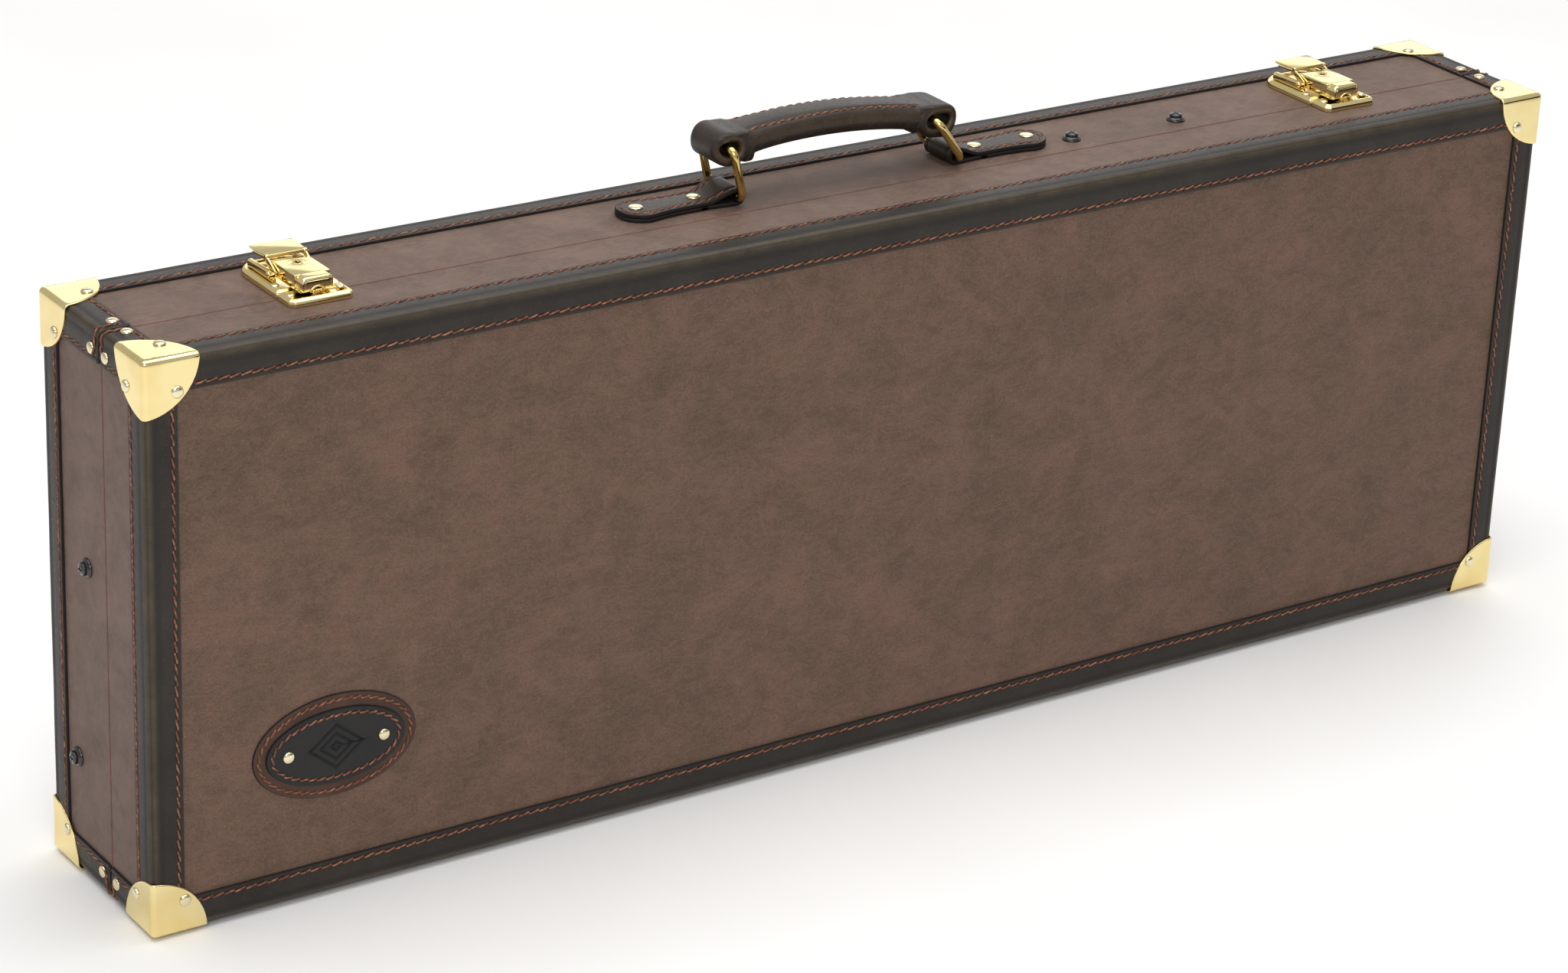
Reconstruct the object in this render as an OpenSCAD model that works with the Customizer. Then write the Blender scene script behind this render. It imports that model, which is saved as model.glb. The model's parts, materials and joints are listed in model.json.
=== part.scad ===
// Leather-bound hard carrying case with brass corners, two draw latches and a ring handle.
// Millimetres. +Z up, the case stands on its hinge side, the lid is the -Y half.
// The origin is the middle of the case in X and Y, on the plane that the feet rest on.

/* [Case] */
// Length over the brass corners
case_w = 900; // [860:10:1100]
// Depth over the brass corners
case_d = 117; // [116:1:150]
// Height over the brass corners
case_h = 314; // [300:2:400]
// Depth of the lid, from the front to the split line
lid_d = 50; // [46:1:52]
// Gap between the closed halves
split_gap = 0.6; // [0.4:0.1:1.2]

/* [Skins] */
// Thickness of the brass corner plates
plate_t = 0.8; // [0.6:0.1:1]
// Thickness of the folded leather edge binding
bind_t = 1.6; // [1.2:0.1:2]
// Width of the edge binding on each face
bind_w = 19; // [16:1:22]
// Thickness of the leather covering
cover_t = 1; // [0.8:0.1:1.2]
// Thickness of the plywood walls
ply_t = 5; // [4:0.5:7]
// Thickness of the fabric lining
lining_t = 1.4; // [1:0.2:2]

/* [Corners and rivets] */
// Reach of a corner plate along each edge
corner_r = 31; // [28:1:34]
// Distance of a corner rivet from both edges of its face
corner_rivet_in = 18.5; // [17:0.5:20]
// Radius of a rivet cap
cap_r = 3.3; // [2.8:0.1:3.6]
// Height of a rivet cap, which is also the height of the feet
cap_h = 1.6; // [1.2:0.1:2]

/* [Hinge] */
// Distance of the outer hinges from the middle one
hinge_pitch = 300; // [200:10:340]
// Length of one hinge
hinge_len = 60; // [40:5:80]

/* [Latches] */
// Distance of each latch from the middle of the case
latch_x = 333.5; // [250:0.5:360]
// Width of the latch plates
latch_w = 36; // [36:1:40]

/* [Handle] */
// Distance of each ring foot from the middle of the case
ring_foot_x = 71.5; // [71:0.5:73]
// Distance between the two straight bars of a ring, centre to centre
ring_h = 29; // [28:0.5:30]
// Distance between the two legs of a ring, centre to centre
ring_w = 34; // [34:0.5:36]
// Radius of the ring wire
wire_r = 2.3; // [2:0.1:2.4]
// Distance of the middle of the handle behind the split line
handle_in = 22; // [20:1:24]

/* [Dividers] */
// Height of the full-length divider above the floor
long_divider_z = 179.6; // [160:0.2:200]
// Height of the low divider above the floor
low_divider_z = 67; // [50:0.5:80]
// Positions of the two cross dividers along the case
cross_divider_x = [155, 229]; // [100:1:300]

/* [Hidden] */
$fn = 48;

// Shells: the lid is the front half and the base the back half. Each value is the side of Y it lies on.
LID = -1;
BASE = 1;

// Insets of each layer from the outer faces of the brass corners
in_bind = plate_t;
in_cover = in_bind + bind_t;
in_ply = in_cover + cover_t;
in_lining = in_ply + ply_t;
in_space = in_lining + lining_t;

// Planes
bottom_z = cap_h;
top_z = bottom_z + case_h;
split_y = -case_d / 2 + lid_d;
cover_top_z = top_z - in_cover;
cover_bottom_z = bottom_z + in_cover;

// Rounding of the outer edges of each layer
plate_edge_r = 3;
bind_edge_r = 4.4;
cover_edge_r = bind_edge_r - bind_t;

// Rivets
shank_r = 1.5;
hole_slack = 0.1;
shank_len = 6.4;
strap_rivet_from_edge = 12.5;
strap_rivet_from_split = 8;
small_cap_r = 2.3;
small_cap_h = 0.7;
small_shank_r = 1;
badge_rivet_x = 27.5;
foot_flat_r = 1.6;
strap_end_gap = 0.5;

// Hinge: the axis lies just under everything that is proud of the bottom
hinge_z = bottom_z + in_bind - 0.1;
knuckle_r = cover_bottom_z - hinge_z;
hinge_pin_r = 0.9;
hinge_bore_r = 0.95;
leaf_t = 1;
leaf_d = 16;
knuckles = 5;
knuckle_gap = 0.3;
hinge_rivet_y = 10;
hinge_rivet_x = [-20, 0, 20];

// Latch, in its own frame: X across, Y back from the split line, Z up from the covering.
// A cross pin slides in the slots of two rails. The draw tilts on it and the lever turns on it.
latch_h = 4.2;
latch_back = min(case_d / 2 - in_bind - bind_w - split_y - 0.3, 50);
latch_front = 15.3;
latch_gap = 0.5;
latch_back_r = 12;
latch_front_r = 2;
pin_at = [16.6, 7.2];
pin_travel = 3;
pin_r = 1;
pin_bore_r = 1.06;
pin_half = 13.4;
rail_x = [11.9, 13.1];
rail_y = [11.7, 43.4];
rail_top = 8.8;
draw_top = 12.6;
draw_bottom = 5;
housing_w = 20;
housing_y = [-3.5, 20.4];
claw_w = 18.5;
claw_front = -9.5;
claw_wall = 1.2;
lever_y = [23.6, 41];
lever_w = [22.6, 25];
lever_z = 13.3;
lever_t = 1.2;
lever_lug_x = [10.3, 11.3];
lever_lug_r = 2.3;
plug_y = 12.4;
plug_r = 2.5;
plug_bore_r = 2.55;
plug_depth = 6.3;
plate_rivets = [[14.5, 9], [6, 37]];
strike_rivet_x = 14;
strike_rivet_y = -6.5;

// Handle
handle_y = split_y + handle_in;
ring_corner_r = 4.5;
foot_z = cover_top_z + 5;
left_lean = -14;
right_lean = -36;
ring_top_x = [-ring_foot_x + ring_h * sin(left_lean), ring_foot_x + ring_h * sin(right_lean)];
ring_top_z = [foot_z + ring_h * cos(left_lean), foot_z + ring_h * cos(right_lean)];
grip_span = norm([ring_top_x[1] - ring_top_x[0], ring_top_z[1] - ring_top_z[0]]);
grip_tilt = atan2(ring_top_z[0] - ring_top_z[1], ring_top_x[1] - ring_top_x[0]);
grip_w = 26;
grip_t = 16;
grip_rise = 6.5;
loop_r = 10.2;
loop_hole_r = 4.6;
loop_slot = 8;
core_w = 14;
core_t = 7;
anchor_t = 4.5;
anchor_r = 13.5;
anchor_loop_w = 24;
anchor_loop_r = 5;
anchor_tip_x = 125;
anchor_rivet_x = [128, 92];
anchor_bore_r = wire_r + 0.4;

// Divider fixings
divider_t = 10;
divider_front_y = -8;
low_divider_front_y = 14;
top_screw_y = 7;
end_screw_y = 12.5;
low_screw_y = 28.5;
screw_r = 1.7;
screw_len = 22;
screw_head_r = 3.6;
screw_head_h = 2.2;
washer_r = 5.3;
washer_h = 2.2;
washer_hole_r = 2;

// Badge on the lid
badge_x = -345;
badge_z = 86;
badge_w = [94, 80];
badge_h = [57, 41.5];
badge_t = 1.2;

far = 3 * case_w;

// ---------- shared shapes ----------

module rounded_rect(w, h, r) {
    square([w - 2 * r, h], center = true);
    square([w, h - 2 * r], center = true);
    for (x = [-1, 1], y = [-1, 1])
        translate([x * (w / 2 - r), y * (h / 2 - r)]) circle(r);
}

// The whole case inset on every side, with sharp edges
module level_box(inset) {
    translate([0, 0, bottom_z + case_h / 2])
        cube([case_w - 2 * inset, case_d - 2 * inset, case_h - 2 * inset], center = true);
}

// The same with its edges rounded
module soft_box(inset, r) {
    w = case_w - 2 * inset;
    d = case_d - 2 * inset;
    h = case_h - 2 * inset;
    translate([0, 0, bottom_z + case_h / 2])
        intersection() {
            linear_extrude(h, center = true) rounded_rect(w, d, r);
            rotate([90, 0, 0]) linear_extrude(d, center = true) rounded_rect(w, h, r);
            rotate([90, 0, 90]) linear_extrude(w, center = true) rounded_rect(d, h, r);
        }
}

// The space on one shell's side of the split, less some extra gap
module half_space(shell, extra = 0) {
    y = split_y + shell * (split_gap / 2 + extra);
    translate([0, y + shell * far / 2, 0]) cube(far, center = true);
}

// Puts children on a face: their +Z becomes the outward normal
module outward(p, n) {
    translate(p) rotate([0, acos(n[2]), atan2(n[1], n[0])]) children();
}

module domed_cap(r, h) {
    ball_r = (r * r + h * h) / (2 * h);
    intersection() {
        translate([0, 0, h - ball_r]) sphere(ball_r);
        cylinder(r = r + 1, h = h + 1);
    }
}

module rivet(len = shank_len) {
    domed_cap(cap_r, cap_h);
    translate([0, 0, -len]) cylinder(r = shank_r, h = len + 0.2);
}

module small_rivet(len = 4) {
    domed_cap(small_cap_r, small_cap_h);
    translate([0, 0, -len]) cylinder(r = small_shank_r, h = len + 0.2);
}

module drill(r, len) {
    translate([0, 0, -len - 0.2]) cylinder(r = r + hole_slack, h = len + 1);
}

// ---------- where the rivets go ----------

module at_corner_rivets(shell) {
    for (x = [-1, 1], z = [-1, 1]) {
        mid_x = x * (case_w / 2 - corner_rivet_in);
        mid_y = shell * (case_d / 2 - corner_rivet_in);
        rivet_z = bottom_z + case_h / 2 + z * (case_h / 2 - corner_rivet_in);
        outward([mid_x, shell * case_d / 2, rivet_z], [0, shell, 0]) children();
        outward([x * case_w / 2, mid_y, rivet_z], [x, 0, 0]) children();
        if (z > 0) outward([mid_x, mid_y, top_z], [0, 0, 1]) children();
    }
}

module at_foot_rivets(shell) {
    for (x = [-1, 1])
        outward(
            [x * (case_w / 2 - corner_rivet_in), shell * (case_d / 2 - corner_rivet_in), bottom_z],
            [0, 0, -1]
        ) children();
}

module at_strap_rivets(shell) {
    y = split_y + shell * strap_rivet_from_split;
    for (x = [-1, 1], z = [-1, 1]) {
        rivet_z = bottom_z + case_h / 2 + z * (case_h / 2 - strap_rivet_from_edge);
        edge_z = bottom_z + case_h / 2 + z * (case_h / 2 - in_bind);
        outward([x * (case_w / 2 - in_bind), y, rivet_z], [x, 0, 0]) children();
        outward([x * (case_w / 2 - strap_rivet_from_edge), y, edge_z], [0, 0, z]) children();
    }
}

module at_anchor_rivets() {
    for (side = [-1, 1], x = anchor_rivet_x)
        translate([side * x, handle_y, cover_top_z + anchor_t]) children();
}

module at_badge_rivets() {
    for (x = [-1, 1])
        outward(
            [badge_x + x * badge_rivet_x, -case_d / 2 + in_cover - 2 * badge_t, badge_z],
            [0, -1, 0]
        ) children();
}

module at_hinges() {
    for (x = [-hinge_pitch, 0, hinge_pitch]) translate([x, split_y, hinge_z]) children();
}

module at_hinge_rivets(shell) {
    for (hinge = [-hinge_pitch, 0, hinge_pitch], x = hinge_rivet_x)
        outward([hinge + x, split_y + shell * hinge_rivet_y, cover_bottom_z - leaf_t], [0, 0, -1])
            children();
}

module at_latch(side) {
    translate([side * latch_x, split_y, cover_top_z]) children();
}

module at_latch_rivets(side) {
    at_latch(side)
        for (x = [-1, 1], at = plate_rivets)
            translate([x * at[0], at[1], latch_h]) children();
}

module at_strike_rivets(side) {
    at_latch(side)
        for (x = [-strike_rivet_x, strike_rivet_x])
            translate([x, strike_rivet_y, latch_h]) children();
}

// Screws that hold the dividers: two through each end, two through the top
module at_divider_screws() {
    for (x = [-1, 1]) {
        outward([x * (case_w / 2 - in_cover), end_screw_y, long_divider_z], [x, 0, 0]) children();
        outward([x * (case_w / 2 - in_cover), low_screw_y, low_divider_z], [x, 0, 0]) children();
    }
    for (x = cross_divider_x) outward([x, top_screw_y, cover_top_z], [0, 0, 1]) children();
}

module shell_holes(shell) {
    at_corner_rivets(shell) drill(shank_r, shank_len);
    at_foot_rivets(shell) drill(shank_r, shank_len);
    at_strap_rivets(shell) drill(shank_r, shank_len);
    at_hinge_rivets(shell) drill(small_shank_r, 4);
    for (side = [-1, 1])
        if (shell == BASE) at_latch_rivets(side) drill(small_shank_r, latch_h + 3);
        else at_strike_rivets(side) drill(small_shank_r, latch_h + 3);
    if (shell == BASE) {
        at_anchor_rivets() drill(shank_r, anchor_t + 4);
        at_divider_screws() drill(screw_r, screw_len);
    } else {
        at_badge_rivets() drill(shank_r, 2 * badge_t + 4);
    }
}

// ---------- walls, covering, lining ----------

wall_x = case_w / 2 - in_ply;
wall_z0 = bottom_z + in_ply;
wall_z1 = top_z - in_ply;

// Y range of a shell's side walls, from the split to the face panel
function side_y(shell) =
    shell == LID
        ? [-case_d / 2 + in_ply + ply_t, split_y - split_gap / 2]
        : [split_y + split_gap / 2, case_d / 2 - in_ply - ply_t];

module block(x, y, z) {
    translate([x[0], y[0], z[0]]) cube([x[1] - x[0], y[1] - y[0], z[1] - z[0]]);
}

module ply(shell) {
    color("burlywood") difference() {
        children();
        shell_holes(shell);
    }
}

module face_panel(shell) {
    y = shell * (case_d / 2 - in_ply);
    ply(shell)
        block(
            [-wall_x, wall_x],
            shell == LID ? [y, y + ply_t] : [y - ply_t, y],
            [wall_z0, wall_z1]
        );
}

module top_wall(shell) {
    ply(shell) block([-wall_x, wall_x], side_y(shell), [wall_z1 - ply_t, wall_z1]);
}

module bottom_wall(shell) {
    ply(shell) block([-wall_x, wall_x], side_y(shell), [wall_z0, wall_z0 + ply_t]);
}

module end_wall(shell, side) {
    x = side < 0 ? [-wall_x, -wall_x + ply_t] : [wall_x - ply_t, wall_x];
    ply(shell) block(x, side_y(shell), [wall_z0 + ply_t, wall_z1 - ply_t]);
}

module cover(shell) {
    color([0.34, 0.25, 0.21]) difference() {
        intersection() {
            soft_box(in_cover, cover_edge_r);
            half_space(shell);
        }
        level_box(in_ply);
        shell_holes(shell);
    }
}

module lining(shell) {
    color([0.45, 0.38, 0.28]) difference() {
        intersection() {
            level_box(in_lining);
            half_space(shell);
        }
        level_box(in_space);
        if (shell == BASE) at_divider_screws() drill(screw_r, screw_len);
    }
}

// ---------- edge binding ----------

module binding_skin(shell, extra = 0) {
    difference() {
        intersection() {
            soft_box(in_bind, bind_edge_r);
            half_space(shell, extra);
        }
        soft_box(in_cover, cover_edge_r);
        shell_holes(shell);
    }
}

bind_x = case_w / 2 - in_bind;
bind_y = case_d / 2 - in_bind;
window_x = bind_x - bind_w;
window_z = case_h / 2 - in_bind - bind_w;
mid_z = bottom_z + case_h / 2;

// Four L-section strips round the face, mitred under the corner plates
module face_bindings(shell) {
    reach = case_h / 2;
    edge = shell * (bind_y - bind_w);
    band = shell == LID ? [-case_d, edge] : [edge, case_d];
    for (turn = [0, 1], side = [-1, 1])
        color([0.17, 0.14, 0.12]) intersection() {
            difference() {
                binding_skin(shell);
                translate([0, shell * bind_y, mid_z])
                    cube([2 * window_x, 2 * (in_cover + bind_w / 2), 2 * window_z], center = true);
            }
            block([-case_w, case_w], band, [-case_h, 2 * case_h]);
            translate([0, 0, mid_z]) rotate([90, 0, 0]) linear_extrude(case_w, center = true)
                mitre_region(turn, side, reach);
        }
}

// Half plane of one strip, bounded by 45 degree lines through the corners of the case
module mitre_region(turn, side, reach) {
    if (turn == 0)
        polygon([
            [-case_w / 2, side * case_h / 2],
            [case_w / 2, side * case_h / 2],
            [case_w / 2 - reach, side * (case_h / 2 - reach)],
            [-case_w / 2 + reach, side * (case_h / 2 - reach)]
        ]);
    else
        polygon([
            [side * case_w / 2, case_h / 2],
            [side * case_w / 2, -case_h / 2],
            [side * (case_w / 2 - reach), 0]
        ]);
}

// Short L-section straps over the end edges, from the face binding to the split
module end_bindings(shell) {
    inner = shell * (bind_y - bind_w);
    band = shell == LID ? [inner, case_d] : [-case_d, inner];
    color([0.17, 0.14, 0.12]) intersection() {
        binding_skin(shell, strap_end_gap);
        block([-case_w, case_w], band, [-case_h, 2 * case_h]);
        for (x = [-1, 1], z = [-1, 1])
            translate([x * bind_x, 0, mid_z + z * (case_h / 2 - in_bind)])
                cube([2 * bind_w, 2 * case_d, 2 * bind_w], center = true);
    }
}

// ---------- brass corners and rivets ----------

module corner_plate(shell, x, z) {
    color([0.93, 0.83, 0.5]) difference() {
        intersection() {
            soft_box(0, plate_edge_r);
            translate([x * case_w / 2, shell * case_d / 2, mid_z + z * case_h / 2])
                sphere(corner_r, $fn = 96);
        }
        soft_box(in_bind, plate_edge_r - plate_t);
        at_corner_rivets(shell) drill(shank_r, 2);
        at_foot_rivets(shell) drill(shank_r, 2);
    }
}

module cap_rivets(shell) {
    color([0.85, 0.78, 0.55]) {
        at_corner_rivets(shell) rivet();
        at_strap_rivets(shell) rivet();
        if (shell == BASE) at_anchor_rivets() rivet(anchor_t + 4);
        else at_badge_rivets() rivet(2 * badge_t + 4);
    }
}

// The rivet under each bottom corner has a flattened cap, and the case stands on it
module foot_rivets(shell) {
    color([0.85, 0.78, 0.55]) at_foot_rivets(shell)
        rotate_extrude() polygon([
            [0, -shank_len], [shank_r, -shank_len], [shank_r, 0], [cap_r, 0],
            [cap_r - 0.3, cap_h * 0.55], [foot_flat_r, cap_h], [0, cap_h]
        ]);
}

module small_rivets(shell) {
    color([0.9, 0.8, 0.48]) {
        at_hinge_rivets(shell) small_rivet();
        for (side = [-1, 1])
            if (shell == BASE) at_latch_rivets(side) small_rivet(latch_h + 3);
            else at_strike_rivets(side) small_rivet(latch_h + 3);
    }
}

// ---------- hinge ----------

module knuckle_row(owner_first) {
    pitch = hinge_len / knuckles;
    for (i = [owner_first : 2 : knuckles - 1])
        translate([-hinge_len / 2 + i * pitch + knuckle_gap / 2, 0, 0])
            rotate([0, 90, 0]) cylinder(r = knuckle_r, h = pitch - knuckle_gap);
}

module hinge_leaves(shell) {
    pitch = hinge_len / knuckles;
    first = shell == BASE ? 0 : 1;
    inner = knuckle_r + 0.4;
    color([0.9, 0.8, 0.48]) difference() {
        at_hinges() union() {
            knuckle_row(first);
            mirror([0, shell == BASE ? 0 : 1, 0]) {
                translate([-hinge_len / 2, inner, knuckle_r - leaf_t])
                    cube([hinge_len, leaf_d - inner, leaf_t]);
                for (i = [first : 2 : knuckles - 1])
                    translate([-hinge_len / 2 + i * pitch + knuckle_gap / 2, 0, knuckle_r - leaf_t])
                        cube([pitch - knuckle_gap, inner + 0.5, leaf_t]);
            }
        }
        at_hinges() rotate([0, 90, 0]) cylinder(r = hinge_bore_r, h = hinge_len + 4, center = true);
        at_hinge_rivets(shell) drill(small_shank_r, 3);
    }
}

module hinge_pins() {
    color([0.8, 0.7, 0.4]) at_hinges() rotate([0, 90, 0])
        cylinder(r = hinge_pin_r, h = hinge_len, center = true);
}

// ---------- latches ----------

// Plate between two Y values with its own corner radii at the front and the back
module latch_outline(y0, y1, r0, r1) {
    w = latch_w / 2;
    translate([-w + r0, y0]) square([latch_w - 2 * r0, r0 + 0.01]);
    translate([-w, y0 + r0]) square([latch_w, y1 - y0 - r0 - r1]);
    translate([-w + r1, y1 - r1 - 0.01]) square([latch_w - 2 * r1, r1 + 0.01]);
    for (x = [-1, 1]) {
        translate([x * (w - r0), y0 + r0]) circle(r0);
        translate([x * (w - r1), y1 - r1]) circle(r1);
    }
}

module across(x0, x1) {
    translate([x0, 0, 0]) rotate([90, 0, 90]) linear_extrude(x1 - x0) children();
}

// One pair of mirrored side plates, drawn in the Y-Z plane
module both_sides(x) {
    for (side = [-1, 1]) mirror([side < 0 ? 1 : 0, 0, 0]) across(x[0], x[1]) children();
}

module latch_plate(side) {
    color([0.93, 0.83, 0.45]) difference() {
        at_latch(side) {
            linear_extrude(latch_h) latch_outline(latch_gap, latch_back, latch_front_r, latch_back_r);
            both_sides(rail_x) difference() {
                translate([rail_y[0], latch_h - 1])
                    square([rail_y[1] - rail_y[0], rail_top - latch_h + 1]);
                translate(pin_at) circle(pin_bore_r);
                translate(pin_at - [pin_travel, 0]) circle(pin_bore_r);
                translate(pin_at - [pin_travel, pin_bore_r]) square([pin_travel, 2 * pin_bore_r]);
            }
        }
        at_latch_rivets(side) drill(small_shank_r, latch_h);
    }
}

// Bore for the cross pin through one latch
module cross_bore(side) {
    at_latch(side) translate([0, pin_at[0], pin_at[1]]) rotate([0, 90, 0])
        cylinder(r = pin_bore_r, h = latch_w, center = true);
}

module slide_pin(side) {
    color([0.85, 0.75, 0.4]) at_latch(side) translate([0, pin_at[0], pin_at[1]])
        rotate([0, 90, 0]) cylinder(r = pin_r, h = 2 * pin_half, center = true);
}

module latch_lever(side) {
    color([0.95, 0.86, 0.52]) difference() {
        at_latch(side) {
            translate([0, 0, lever_z]) linear_extrude(lever_t) polygon([
                [-lever_w[0] / 2, lever_y[0]], [lever_w[0] / 2, lever_y[0]],
                [lever_w[1] / 2, lever_y[1]], [-lever_w[1] / 2, lever_y[1]]
            ]);
            both_sides(lever_lug_x) {
                translate(pin_at) circle(lever_lug_r);
                polygon([
                    pin_at + [-1.6, 1.6], [lever_y[0], lever_z + 0.1],
                    [lever_y[0] + 5, lever_z + 0.1], pin_at + [1.8, -1.4]
                ]);
            }
        }
        cross_bore(side);
    }
}

// Side view of the draw: the lock housing, its back corner cut away so that it can tilt
module housing_profile() {
    polygon([
        [housing_y[0], draw_bottom], [15.5, draw_bottom], [18.8, 6.2],
        [housing_y[1], 8.9], [housing_y[1], draw_top], [housing_y[0], draw_top]
    ]);
}

module claw_profile() {
    nose_r = 3;
    translate([claw_front, draw_bottom])
        square([housing_y[0] - claw_front + 0.1, draw_top - draw_bottom - nose_r]);
    translate([claw_front + nose_r, draw_bottom])
        square([housing_y[0] - claw_front - nose_r + 0.1, draw_top - draw_bottom]);
    translate([claw_front + nose_r, draw_top - nose_r]) circle(nose_r);
}

// Lock housing with the claw in front. The arch lets the tongue of the strike into the claw.
module latch_draw(side) {
    arch_r = 4.5;
    arch_z = 6;
    color([0.93, 0.83, 0.45]) difference() {
        at_latch(side) difference() {
            union() {
                across(-housing_w / 2, housing_w / 2) housing_profile();
                across(-claw_w / 2, claw_w / 2) claw_profile();
            }
            translate([-claw_w / 2 + claw_wall, claw_front + claw_wall, draw_bottom - 1])
                cube([claw_w - 2 * claw_wall, housing_y[0] - claw_front, draw_top - draw_bottom - 1]);
            translate([0, claw_front + 2, arch_z]) rotate([90, 0, 0]) cylinder(r = arch_r, h = 4);
            translate([-arch_r, claw_front - 1, draw_bottom - 1])
                cube([2 * arch_r, 3, arch_z - draw_bottom + 1]);
            translate([0, plug_y, draw_top - plug_depth])
                cylinder(r = plug_bore_r, h = plug_depth + 1);
        }
        cross_bore(side);
    }
}

// Turning lock plug with a cross-shaped keyway
module lock_plug(side) {
    keyway = [3.2, 0.8, 3];
    color([0.75, 0.68, 0.45]) at_latch(side)
        translate([0, plug_y, draw_top - plug_depth + 0.1]) difference() {
            cylinder(r = plug_r, h = plug_depth - 0.3);
            for (turn = [0, 90])
                translate([0, 0, plug_depth - 0.3]) rotate([0, 0, turn]) cube(keyway, center = true);
        }
}

// Front plate with the hooked tongue that the claw draws back
module latch_strike(side) {
    tongue_w = 6;
    color([0.93, 0.83, 0.45]) difference() {
        at_latch(side) {
            linear_extrude(latch_h) latch_outline(-latch_front, -latch_gap, latch_front_r, latch_front_r);
            across(-tongue_w / 2, tongue_w / 2) {
                translate([-7.5, latch_h - 1]) square([1.2, 5.4]);
                translate([-11, latch_h + 3.2]) square([4.7, 1.2]);
            }
        }
        at_strike_rivets(side) drill(small_shank_r, latch_h);
    }
}

// ---------- handle ----------

module ring(lean, foot_x) {
    straight_w = ring_w - 2 * ring_corner_r;
    straight_h = ring_h - 2 * ring_corner_r;
    color([0.62, 0.52, 0.3]) translate([foot_x, handle_y, foot_z]) rotate([0, lean, 0]) {
        for (z = [0, ring_h])
            translate([0, 0, z]) rotate([90, 0, 0])
                cylinder(r = wire_r, h = straight_w, center = true);
        for (y = [-1, 1])
            translate([0, y * ring_w / 2, ring_corner_r]) cylinder(r = wire_r, h = straight_h);
        for (y = [-1, 1], z = [-1, 1])
            translate([0, y * straight_w / 2, ring_h / 2 + z * straight_h / 2])
                rotate([0, 90, 0]) rotate([0, 0, z > 0 ? (y > 0 ? 90 : 180) : (y > 0 ? 0 : 270)])
                    rotate_extrude(angle = 90) translate([ring_corner_r, 0]) circle(wire_r, $fn = 32);
    }
}

// Leather tab riveted to the base and looped round the foot of a ring
module anchor(side) {
    slope_x = 12;
    loop_z = foot_z - cover_top_z;
    color([0.2, 0.15, 0.12]) difference() {
        translate([side * ring_foot_x, handle_y, cover_top_z]) mirror([side < 0 ? 1 : 0, 0, 0])
            intersection() {
                rotate([90, 0, 0]) linear_extrude(4 * anchor_r, center = true) {
                    square([anchor_tip_x + anchor_r - ring_foot_x, anchor_t]);
                    translate([0, loop_z]) circle(anchor_loop_r);
                    polygon([
                        [0, 0], [slope_x + 4, 0], [slope_x + 4, anchor_t],
                        [slope_x, anchor_t + 1], [1.5, loop_z + anchor_loop_r - 0.3], [0, 5]
                    ]);
                }
                linear_extrude(30) {
                    translate([anchor_tip_x - ring_foot_x, 0]) circle(anchor_r);
                    translate([-8, -anchor_loop_w / 2]) square([22, anchor_loop_w]);
                    translate([0, -anchor_r * 0.8])
                        square([anchor_tip_x - ring_foot_x, anchor_r * 1.6]);
                }
            }
        translate([side * ring_foot_x, handle_y, foot_z]) rotate([90, 0, 0])
            cylinder(r = anchor_bore_r, h = 4 * anchor_r, center = true);
        at_anchor_rivets() drill(shank_r, anchor_t);
    }
}

// Frame of the grip: X from the left ring to the right one, Y up, thickness w across the case
module grip_block(w) {
    translate([ring_top_x[0], handle_y, ring_top_z[0]])
        rotate([0, grip_tilt, 0]) rotate([90, 0, 0]) linear_extrude(w, center = true) children();
}

// Arch between the two rings, t thick, ending short of each by the given length
module grip_arch(t, short) {
    sag_r = (pow(grip_span / 2, 2) + pow(grip_rise, 2)) / (2 * grip_rise);
    middle = (grip_span + loop_slot) / 2;
    intersection() {
        translate([middle, grip_rise - sag_r]) difference() {
            circle(sag_r + t / 2, $fn = 200);
            circle(sag_r - t / 2, $fn = 200);
        }
        translate([short, -20]) square([grip_span + loop_slot - 2 * short, 60]);
    }
}

// A hole or a lobe at each end of the grip, with room for the ring to shift along it
module grip_ends(r) {
    for (x = [0, grip_span]) {
        translate([x, 0]) circle(r);
        translate([x + loop_slot, 0]) circle(r);
        translate([x, -r]) square([loop_slot, 2 * r]);
    }
}

module grip() {
    color([0.22, 0.17, 0.13]) difference() {
        grip_block(grip_w) difference() {
            union() {
                grip_arch(grip_t, 4);
                grip_ends(loop_r);
            }
            grip_ends(loop_hole_r);
        }
        core();
    }
}

module core() {
    grip_block(core_w) grip_arch(core_t, 24);
}

module handle_core() {
    color("burlywood") core();
}

// ---------- dividers and their screws ----------

space_x = case_w / 2 - in_space;
space_y = case_d / 2 - in_space;
space_z = top_z - in_space;

module divider() {
    color([0.5, 0.42, 0.32]) difference() {
        children();
        at_divider_screws() drill(screw_r, screw_len);
    }
}

module long_divider() {
    divider() block(
        [-space_x, space_x], [divider_front_y, space_y],
        [long_divider_z - divider_t / 2, long_divider_z + divider_t / 2]
    );
}

module low_divider() {
    divider() block(
        [-space_x, space_x], [low_divider_front_y, space_y],
        [low_divider_z - divider_t / 2, low_divider_z + divider_t / 2]
    );
}

module cross_dividers() {
    divider() for (x = cross_divider_x)
        block(
            [x - divider_t / 2, x + divider_t / 2], [divider_front_y, space_y],
            [long_divider_z + divider_t / 2, space_z]
        );
}

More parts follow.
